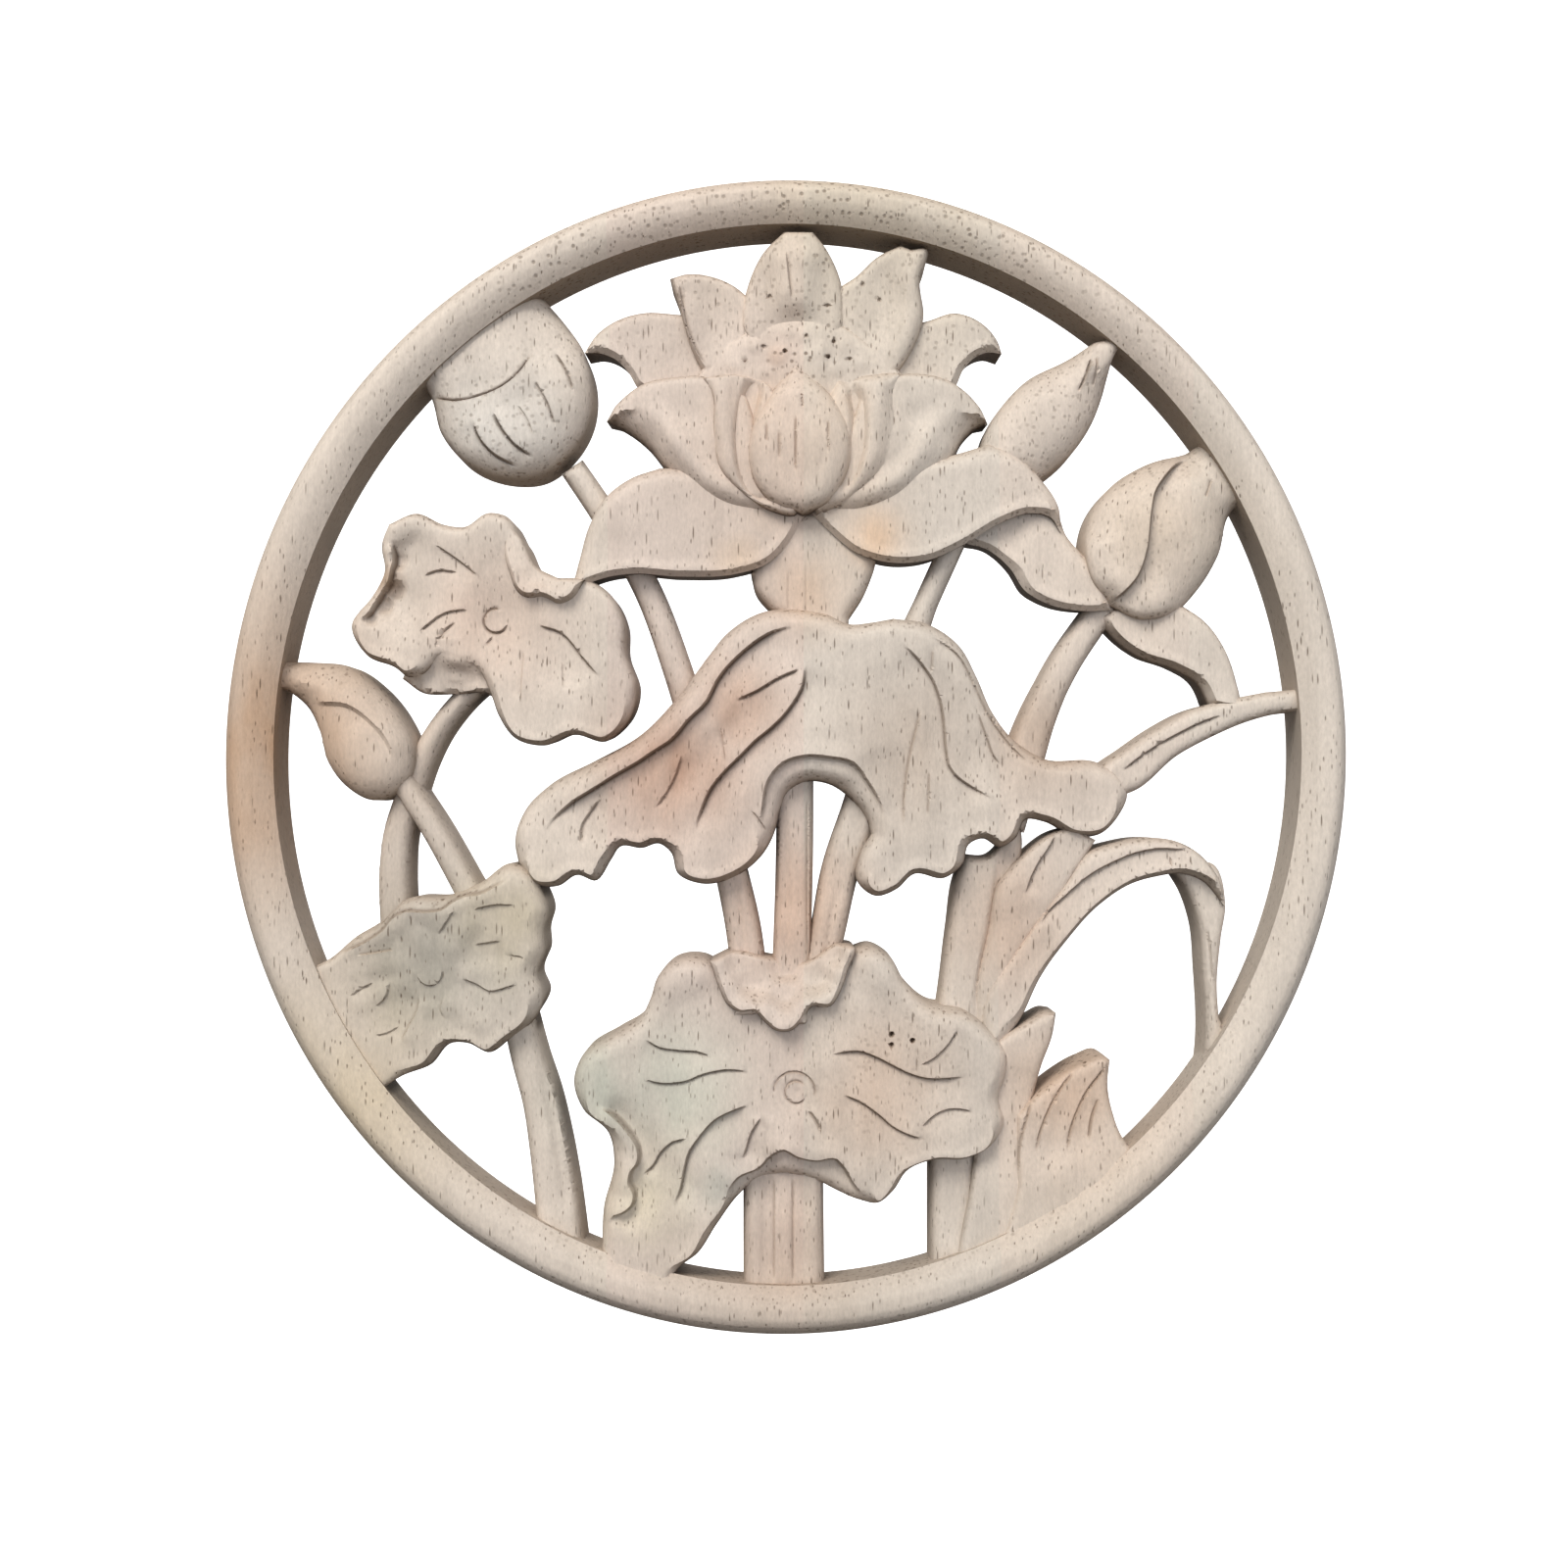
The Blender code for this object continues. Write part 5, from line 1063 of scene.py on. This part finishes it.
def ringMesh(shape):
    # a profile carried round a leaning oval: every row of the grid is one point of it, at all turns
    profile = evenly(curve(shape["profile"]) * (shape["face"], 1), shape["profileStep"])
    profile = profile / (shape["face"], 1)
    feet = np.array([(1, -fineness["belowBack"]), (shape["foot"], -fineness["belowBack"])])
    walls = np.array(shape["innerWall"]) * (shape["foot"], 1)
    across, height = np.vstack((profile, feet, walls)).T[:, :, None]
    lean = math.radians(shape["lean"])
    turn = np.linspace(0, 2 * math.pi, shape["segments"], endpoint=False)[None, :] - lean
    inset = shape["face"] * (1 - across)
    a = (shape["width"] / 2 - inset) * np.cos(turn)
    b = (shape["height"] / 2 - inset) * np.sin(turn)
    low = np.clip(1 - height / shape["profile"][0][1], 0, 1)
    shift = [(above + (below - above) * low) * (1 - across)
             for above, below in zip(shape["innerShift"], shape["footShift"])]
    x = a * math.cos(lean) + b * math.sin(lean) + shift[0]
    z = b * math.cos(lean) - a * math.sin(lean) + shift[1]
    points = np.stack((x, -height + 0 * turn, z), axis=2).reshape(-1, 3)
    rows, columns = x.shape
    number = np.arange(rows * columns).reshape(rows, columns)
    below, beside = np.roll(number, -1, axis=0), np.roll(number, -1, axis=1)
    corner = np.roll(below, -1, axis=1)
    faces = np.stack((number, beside, corner, below), axis=2).reshape(-1, 4)
    mesh = bpy.data.meshes.new("ring")
    mesh.from_pydata((points * mm).tolist(), [], faces.tolist())
    return facedOutward(mesh)


# Everything is one board, so the forms and the ring become one closed piece, cut flat at the back
board = bpy.data.objects.new("carvedRoundel", ringMesh(ringShape))
bpy.context.collection.objects.link(board)
for mesh in forms:
    form = bpy.data.objects.new(mesh.name, mesh)
    bpy.context.collection.objects.link(form)
    joined = board.modifiers.new(mesh.name, "BOOLEAN")
    joined.operation, joined.solver, joined.object = "UNION", "MANIFOLD", form
wasteMesh = bpy.data.meshes.new("wasteBehind")
waste = bpy.data.objects.new("wasteBehind", wasteMesh)
bpy.context.collection.objects.link(waste)
blockSide = 0.3
block = bmesh.new()
bmesh.ops.create_cube(block, size=blockSide)
block.to_mesh(wasteMesh)
block.free()
waste.location.y = blockSide / 2
flat = board.modifiers.new("flatBack", "BOOLEAN")
flat.operation, flat.solver, flat.object = "DIFFERENCE", "MANIFOLD", waste
bpy.context.view_layer.update()
whole = bpy.data.meshes.new_from_object(board.evaluated_get(bpy.context.evaluated_depsgraph_get()))
board.modifiers.clear()
board.data = whole
whole.name = "carvedRoundel"
for form in [bpy.data.objects[mesh.name] for mesh in forms] + [waste]:
    bpy.data.objects.remove(form)
print("joined:", len(whole.vertices), "points", len(whole.polygons), "faces")


# Thin slivers left by the joins go
cleaned = bmesh.new()
cleaned.from_mesh(whole)
bmesh.ops.triangulate(cleaned, faces=cleaned.faces)
bmesh.ops.dissolve_degenerate(cleaned, edges=cleaned.edges, dist=fineness["sliver"] * mm)
bmesh.ops.triangulate(cleaned, faces=cleaned.faces)
# faces left back to back on the same corners go in pairs
openEdges = [edge for edge in cleaned.edges if len(edge.link_faces) != 2]
suspects = list({face for edge in openEdges for face in edge.link_faces})
corners = [frozenset(face.verts) for face in suspects]
pairs = [face for face, own in zip(suspects, corners) if corners.count(own) == 2]
bmesh.ops.delete(cleaned, geom=pairs, context="FACES")
openEdges = [edge for edge in cleaned.edges if len(edge.link_faces) != 2]
print("faces:", len(cleaned.faces), "open edges:", len(openEdges))
cleaned.to_mesh(whole)
cleaned.free()

# edges are crisp from an angle on, the rest is smooth
whole.set_sharp_from_angle(angle=math.radians(fineness["crispAngle"]))
print("crisp edges: from", fineness["crispAngle"], "degrees")


# How near each point is to the lines of painted shade around it, up to 1 on a line and 0 beside it
def nearness(points, segments, reach):
    starts, ends, dark = np.split(segments[segments[:, 4] > fineness["faintest"]], (2, 4), axis=1)
    side = ends - starts
    shares = []
    for first in range(0, len(points), fineness["chunk"]):
        away = points[first:first + fineness["chunk"], None] - starts[None]
        t = np.clip(np.sum(away * side, axis=2) / np.sum(side * side, axis=1), 0, 1)
        gap = np.linalg.norm(away - t[..., None] * side, axis=2)
        shares.append((np.clip(1 - gap / reach, 0, 1) * dark[:, 0]).max(axis=1))
    return np.concatenate(shares)


places = np.empty(len(whole.vertices) * 3, np.float32)
whole.vertices.foreach_get("co", places)
places = places.reshape(-1, 3) / mm
# painted shade: nearness to the cuts and pits, and to the walls under crisp lower edges
for layer, segments, reach in (("cutNearness", cutSegments, fineness["cutShadeReach"]),
                               ("underEdge", lowEdges, fineness["edgeShadeReach"])):
    near = nearness(places[:, [0, 2]], np.vstack(segments), reach)
    attribute = whole.attributes.new(layer, "FLOAT", "POINT")
    attribute.data.foreach_set("value", near.astype(np.float32))


def linear(hexColour):
    # an sRGB colour as the linear values that sockets take
    values = [int(hexColour[at:at + 2], 16) / 255 for at in (1, 3, 5)]
    return (*[v / 12.92 if v <= 0.04045 else ((v + 0.055) / 1.055)**2.4 for v in values], 1)


def addNode(tree, kind, settings=None, links=None):
    # a node of any kind: its properties, its inputs' values and what is linked to its inputs
    node = tree.nodes.new(kind)
    for name, value in (settings or {}).items():
        if hasattr(node, name):
            setattr(node, name, value)
        else:
            node.inputs[name].default_value = value
    for name, source in (links or {}).items():
        tree.links.new(source, node.inputs[name])
    return node


# Raw rubber-wood: pale beige with a touch of pink, with fine dark pores that run up the board, so the
# eye sees short dashes on the faces and dots where the grain ends, on the ring's top and in the heart.
# Boards of slightly different colour are glued side by side, with pale grey and cream stains.
woodLook = {
    "boards": [(-100, "#d6cbc0"), (-31.5, "#d5c7bd"), (2.8, "#d3cac0"), (37, "#d8ccc1"),
               (71, "#d9cfc4")],
    "streaks": (1.3, 0.05),     # the grain's streaks for each mm across and along the board
    "poreDark": "#5f4c3a",
    # mm from pore to pore across and along the grain, size as a share of a cell, share of empty cells
    "longPores": (0.8, 6.5, 0.2, 0.45),
    "shortPores": (0.7, 2.6, 0.21, 0.35),
    "dots": (1.3, 1.3, 0.34, 0.2),
    "poreShare": 0.76,
    "fuzz": (0.42, 1.0),        # mm of the fibres' fine mottling across and along the grain
    "endTone": "#84694f",       # the deeper tone of end grain
    "endShare": 0.3,
    "sawnAndShaded": "#6b5439",          # walls and undersides, darker from the saw and with painted shade
    "sawnAndShadedShare": (0.1, 0.6),    # on walls that face up and down: more on walls facing down, as painted shade
    # painted shade: the dark of the walls under crisp lower edges, out of the light
    "undercut": "#3d2f22",
    "underEdgeShadeShare": 0.8,
    # painted shade in the cuts and pits
    "cutShade": "#4f3a28",
    "cutShadeShare": 0.78,
    "roughness": 0.68,
    "specular": 0.35,
    "relief": 0.00025,          # metres
}
# Stains, and one spot of painted shade: (across, up, reach, colour, strength) in millimetres
stainsAndShade = [
    (-62, -38, 17, "#aaa79f", 0.6), (-48, -28, 8, "#c9bd9c", 0.35), (-32, -58, 10, "#babcb0", 0.5),
    (-20, -60, 13, "#c6cabd", 0.5), (-22, -78, 10, "#d8cfb4", 0.45), (-12, -76, 6, "#b6bfbd", 0.4),
    (-4.6, 62.5, 3.2, "#dcbb9c", 0.3), (10.8, 62.5, 3, "#dcbb9c", 0.25),
    (-1.4, 70.5, 3, "#d0a78f", 0.25),
    (-98, 0, 26, "#c0a085", 0.55), (-80, -62, 22, "#d3c2a6", 0.4), (60, -84, 26, "#cfc3b4", 0.4),
    (12, 102, 30, "#cfc2ae", 0.35), (22, 0, 14, "#bfae9f", 0.3), (-20, -2, 12, "#b8947f", 0.5),
    (-8, 8, 8, "#bf9f8b", 0.45), (16, -60, 15, "#cdb09a", 0.35), (0, -84, 9, "#c9a893", 0.35),
    (2, -26, 12, "#cfae98", 0.4), (66, 40, 12, "#d6c6b4", 0.4), (-52, 24, 12, "#cfb3a2", 0.3),
    # the spot at (-70.5, 31) is painted shade, dark in the hollow pockets inside the upper-left leaf's
    # curled rim
    (50, -60, 12, "#d3b299", 0.4), (-70.5, 31, 3, "#a98f76", 0.45), (0, -101, 28, "#c4b8ab", 0.45),
    (-50, 58, 11, "#d8d4ce", 0.45), (2, 54, 16, "#cdb7a5", 0.35), (4, 30, 8, "#d2b8a2", 0.4),
    (15, 39, 6, "#dbbb9c", 0.45), (-8, 35, 5, "#d6bda4", 0.35), (44, 4, 10, "#bfab9b", 0.45),
    (38, -30, 12, "#ccb29f", 0.35),
]
# Where the grain ends at the surface and its pores look like dots: (across, up, reach, strength)
endGrain = [
    (-12, 101, 22, 1), (12, 101, 22, 1), (38, 95, 20, 0.9), (-42, 92, 20, 0.8), (-64, 78, 14, 0.4),
    (64, 80, 18, 0.5), (3, 72, 9, 1), (-50, 60, 14, 0.6), (47, 60, 12, 0.6), (66, 38, 12, 0.3),
    (3, 84, 8, 0.5), (-30, 74, 10, 0.4), (28, 74, 10, 0.4), (18, -56, 20, 0.3), (74, -60, 24, 0.3),
]


def stainAndShadeLayer(points):
    # each point's mean colour of stains and painted shade, weighted by exp(-(distance / reach)^2), and
    # greatest strength
    x, z, reach = np.array([spot[:3] for spot in stainsAndShade]).T
    colours = np.array([linear(colour)[:3] for *_, colour, _ in stainsAndShade])
    strengths = np.array([strength for *_, strength in stainsAndShade])
    weights = np.exp(-((points[:, :1] - x)**2 + (points[:, 1:] - z)**2) / reach**2)
    mixed = weights @ colours / (weights.sum(axis=1)[:, None] + 1e-9)
    return np.column_stack((mixed, (weights * strengths).max(axis=1)))


def woodMaterial(look):
    material = bpy.data.materials.new("rubberWood")
    material.use_nodes = True
    tree = material.node_tree
    shader = tree.nodes["Principled BSDF"]

    def add(kind, settings=None, links=None):
        return addNode(tree, kind, settings, links)

    def reckon(operation, first, second, clamp=False):
        # arithmetic on two links or numbers
        node = add("ShaderNodeMath", {"operation": operation, "use_clamp": clamp})
        for slot, value in enumerate((first, second)):
            if isinstance(value, (int, float)):
                node.inputs[slot].default_value = value
            else:
                tree.links.new(value, node.inputs[slot])
        return node.outputs[0]

    def mixed(share, below, above, blend="MIX"):
        node = add("ShaderNodeMix", {"data_type": "RGBA", "blend_type": blend})
        for slot, value in ((0, share), (6, below), (7, above)):
            if isinstance(value, bpy.types.NodeSocket):
                tree.links.new(value, node.inputs[slot])
            else:
                node.inputs[slot].default_value = value
        return node.outputs[2]

    coordinates = add("ShaderNodeTexCoord")
    place, facing = coordinates.outputs["Object"], coordinates.outputs["Normal"]
    inMm = add("ShaderNodeMapping", {"Scale": (1000, 1000, 1000)}, {"Vector": place}).outputs[0]

    def stretched(across, along, offset=0.0):
        # the pattern space with a cell of these sizes in mm
        settings = {"Scale": (1 / across, 1 / across, 1 / along), "Location": (offset, offset, offset)}
        return add("ShaderNodeMapping", settings, {"Vector": inMm}).outputs[0]

    def noise(across, along, detail, roughness=0.5):
        return add("ShaderNodeTexNoise", {"Scale": 1.0, "Detail": detail, "Roughness": roughness},
                   {"Vector": stretched(across, along)}).outputs["Fac"]

    def ranged(value, start, end, low=0.0, high=1.0):
        # a value's range from start to end, carried to low to high and held there
        ends = {"From Min": start, "From Max": end, "To Min": low, "To Max": high}
        return add("ShaderNodeMapRange", ends, {"Value": value}).outputs["Result"]

    def layer(name):
        return add("ShaderNodeAttribute", {"attribute_name": name}).outputs["Fac"]

    # boards side by side
    x = add("ShaderNodeSeparateXYZ", {}, {0: place}).outputs["X"]
    boards = add("ShaderNodeValToRGB", {}, {"Fac": ranged(x, -0.1, 0.1)})
    boards.color_ramp.interpolation = "CONSTANT"
    ramp = boards.color_ramp.elements
    while len(ramp) < len(look["boards"]):
        ramp.new(0.5)
    for element, (start, colour) in zip(ramp, look["boards"]):
        element.position = (start + 100) / 200
        element.color = linear(colour)
    colour = boards.outputs["Color"]

    # stains, and the painted shade in the upper-left leaf's pockets, with a cloudy edge
    cloud = noise(9, 22, 4.0)
    stainAndShade = add("ShaderNodeAttribute", {"attribute_name": "stainAndShade"})
    cloudy = reckon("ADD", reckon("MULTIPLY", cloud, 2.4), 0.5)
    soak = reckon("MULTIPLY", stainAndShade.outputs["Alpha"], cloudy, True)
    colour = mixed(soak, colour, stainAndShade.outputs["Color"])

    # streaks of the grain, light and dark
    streak = noise(1 / look["streaks"][0], 1 / look["streaks"][1], 5.0, 0.6)
    fuzz = noise(*look["fuzz"], 4.0)
    tone = reckon("MULTIPLY", ranged(streak, 0.3, 0.7, 0.95, 1.04),
                  ranged(noise(6, 70, 2.0), 0.3, 0.7, 0.95, 1.04))
    tone = reckon("MULTIPLY", tone, ranged(fuzz, 0.3, 0.7, 0.91, 1.06))
    toneColour = add("ShaderNodeCombineColor", {}, {"Red": tone, "Green": tone, "Blue": tone}).outputs[0]
    colour = mixed(1.0, colour, toneColour, "MULTIPLY")

    # pores: a cell's middle is open where the cell is one of those that have a pore
    def pores(across, along, size, empty, offset):
        cells = add("ShaderNodeTexVoronoi", {"Scale": 1.0, "Randomness": 1.0},
                    {"Vector": stretched(across, along, offset)})
        number = add("ShaderNodeSeparateColor", {}, {0: cells.outputs["Color"]}).outputs[0]
        has = reckon("GREATER_THAN", number, empty)
        return reckon("MULTIPLY", has, ranged(cells.outputs["Distance"], size, size * 0.45))

    # the grain runs up the board, so slopes that face up or down cut it across: dots and a deeper tone
    way = add("ShaderNodeSeparateXYZ", {}, {0: facing})
    slope = ranged(reckon("ABSOLUTE", way.outputs["Z"], 0.0), 0.35, 0.85)
    colour = mixed(reckon("MULTIPLY", slope, look["endShare"]), colour, linear(look["endTone"]))
    large = pores(*look["longPores"], 0.0)
    fine = pores(*look["shortPores"], 3.7)
    dotted = reckon("MAXIMUM", layer("endGrain"), slope)
    ends = reckon("MULTIPLY", pores(*look["dots"], 9.1), dotted)
    opened = reckon("MAXIMUM", reckon("MAXIMUM", large, reckon("MULTIPLY", fine, 0.8)), ends)
    opened = reckon("MULTIPLY", opened, ranged(cloud, 0.35, 0.6, 0.5, 1.0))
    colour = mixed(reckon("MULTIPLY", opened, look["poreShare"]), colour, linear(look["poreDark"]))

    # sawn walls and undersides, with painted shade that grows on walls facing down
    upright = ranged(way.outputs["Y"], -0.45, -0.1)
    downwardShade = ranged(way.outputs["Z"], 0.5, -0.6, *look["sawnAndShadedShare"])
    colour = mixed(reckon("MULTIPLY", upright, downwardShade), colour, linear(look["sawnAndShaded"]))

    # painted shade on walls under crisp edges, undercut by the gouge and out of the light
    under = reckon("MULTIPLY", layer("underEdge"), 1.6, True)
    under = reckon("MULTIPLY", under, reckon("POWER", upright, 3))
    colour = mixed(reckon("MULTIPLY", under, look["underEdgeShadeShare"]), colour, linear(look["undercut"]))

    # painted shade in the knife's cuts and pits
    cutShadeShare = ranged(layer("cutNearness"), 0.1, 1.0, 0.0, look["cutShadeShare"])
    colour = mixed(cutShadeShare, colour, linear(look["cutShade"]))
    tree.links.new(colour, shader.inputs["Base Color"])

    # roughness and relief of the grain
    rough = ranged(streak, 0.0, 1.0, look["roughness"] - 0.08, look["roughness"] + 0.12)
    tree.links.new(rough, shader.inputs["Roughness"])
    fibres = reckon("ADD", reckon("MULTIPLY", fuzz, 0.4), reckon("MULTIPLY", streak, 0.5))
    height = reckon("SUBTRACT", fibres, opened)
    bump = add("ShaderNodeBump", {"Strength": 0.6, "Distance": look["relief"]}, {"Height": height})
    tree.links.new(bump.outputs["Normal"], shader.inputs["Normal"])
    shader.inputs["Specular IOR Level"].default_value = look["specular"]
    return material


def endGrainLayer(points):
    # the strongest of the spots at each point: strength * exp(-(distance / reach)^2)
    x, z, reach, strength = np.array(endGrain).T
    return (strength * np.exp(-((points[:, :1] - x)**2 + (points[:, 1:] - z)**2) / reach**2)).max(axis=1)


dotted = whole.attributes.new("endGrain", "FLOAT", "POINT")
dotted.data.foreach_set("value", endGrainLayer(places[:, [0, 2]]).astype(np.float32))
stainAndShadeColour = whole.attributes.new("stainAndShade", "FLOAT_COLOR", "POINT")
stainAndShadeColour.data.foreach_set("color", stainAndShadeLayer(places[:, [0, 2]]).astype(np.float32).ravel())
whole.materials.clear()
whole.materials.append(woodMaterial(woodLook))
print("wood: ready")

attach(board, "root")
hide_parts("carved_panel")


# A pale sweep far behind and below, plain and white
sweepShape = {"halfWidth": 3.0, "floor": -0.45, "back": 1.3, "front": -2.2, "top": 2.4, "bend": 0.25}


def sweepMesh(shape):
    # a floor, a quarter round and an upright back: one line of points carried across the width
    turn = np.linspace(-math.pi / 2, 0, 13)
    y = np.concatenate(([shape["front"]], shape["back"] - shape["bend"] + shape["bend"] * np.cos(turn),
                        [shape["back"]]))
    z = np.concatenate(([shape["floor"]], shape["floor"] + shape["bend"] + shape["bend"] * np.sin(turn),
                        [shape["top"]]))
    x = np.array((-shape["halfWidth"], shape["halfWidth"]))[:, None]
    points = np.stack((x + 0 * y, y + 0 * x, z + 0 * x), axis=2)
    number = np.arange(2 * len(y)).reshape(2, -1)
    faces = np.stack((number[0, :-1], number[1, :-1], number[1, 1:], number[0, 1:]), axis=1)
    mesh = bpy.data.meshes.new("paleSweep")
    mesh.from_pydata(points.reshape(-1, 3).tolist(), [], faces.tolist())
    mesh.shade_smooth()
    return mesh


sweep = bpy.data.objects.new("paleSweep", sweepMesh(sweepShape))
bpy.context.collection.objects.link(sweep)
paper = bpy.data.materials.new("whitePaper")
paper.use_nodes = True
paperShader = paper.node_tree.nodes["Principled BSDF"]
paperShader.inputs["Base Color"].default_value = linear("#ffffff")
paperShader.inputs["Roughness"].default_value = 1.0
paperShader.inputs["Emission Color"].default_value = (1, 1, 1, 1)
paperShader.inputs["Emission Strength"].default_value = 1.0
sweep.data.materials.append(paper)
sweep.visible_diffuse = False
sweep.visible_glossy = False
sweep.visible_shadow = False


# Soft studio light from above the carving's face, and a weak fill
lights = {
    "key": {"place": (-0.4, -0.85, 0.9), "size": 0.7, "power": 13.4, "colour": "#fffaf2"},
    "fill": {"place": (0.35, -1.1, 0.1), "size": 1.2, "power": 3.8, "colour": "#f6f8ff"},
}
for name, light in lights.items():
    lamp = bpy.data.lights.new(name, "AREA")
    lamp.shape, lamp.size, lamp.energy = "DISK", light["size"], light["power"]
    lamp.color = linear(light["colour"])[:3]
    holder = bpy.data.objects.new(name, lamp)
    holder.location = light["place"]
    holder.rotation_euler = (-Vector(light["place"])).to_track_quat("-Z", "Y").to_euler()
    bpy.context.collection.objects.link(holder)

# The room is light above and dim below, as over a bench
room = {"below": 0.2, "above": 0.56, "colour": "#f6f4f1"}
world = bpy.data.worlds.new("room")
bpy.context.scene.world = world
world.use_nodes = True
roomTree = world.node_tree
direction = addNode(roomTree, "ShaderNodeTexCoord").outputs["Generated"]
upward = addNode(roomTree, "ShaderNodeSeparateXYZ", {}, {0: direction}).outputs["Z"]
level = addNode(roomTree, "ShaderNodeMapRange",
                {"From Min": -0.45, "From Max": 0.55, "To Min": room["below"], "To Max": room["above"]},
                {"Value": upward})
backdrop = roomTree.nodes["Background"]
backdrop.inputs["Color"].default_value = linear(room["colour"])
roomTree.links.new(level.outputs["Result"], backdrop.inputs["Strength"])


# The camera looks straight at the carving from the eye, shifted so that the picture's centre fits
sensor = 36
camera = bpy.data.objects.new("camera", bpy.data.cameras.new("camera"))
bpy.context.collection.objects.link(camera)
camera.location = (0, -drawing["eyeDistance"] * mm, drawing["eyeLevel"] * mm)
camera.rotation_euler = (math.pi / 2, 0, 0)
camera.data.sensor_width = sensor
camera.data.lens = sensor * drawing["focal"] / drawing["pictureSide"]
camera.data.shift_x = 0.5 - drawing["centre"][0] / drawing["pictureSide"]
camera.data.shift_y = drawing["centre"][1] / drawing["pictureSide"] - 0.5
camera.data.clip_start = 0.01
bpy.context.scene.camera = camera
bpy.context.scene.view_settings.view_transform = "Standard"
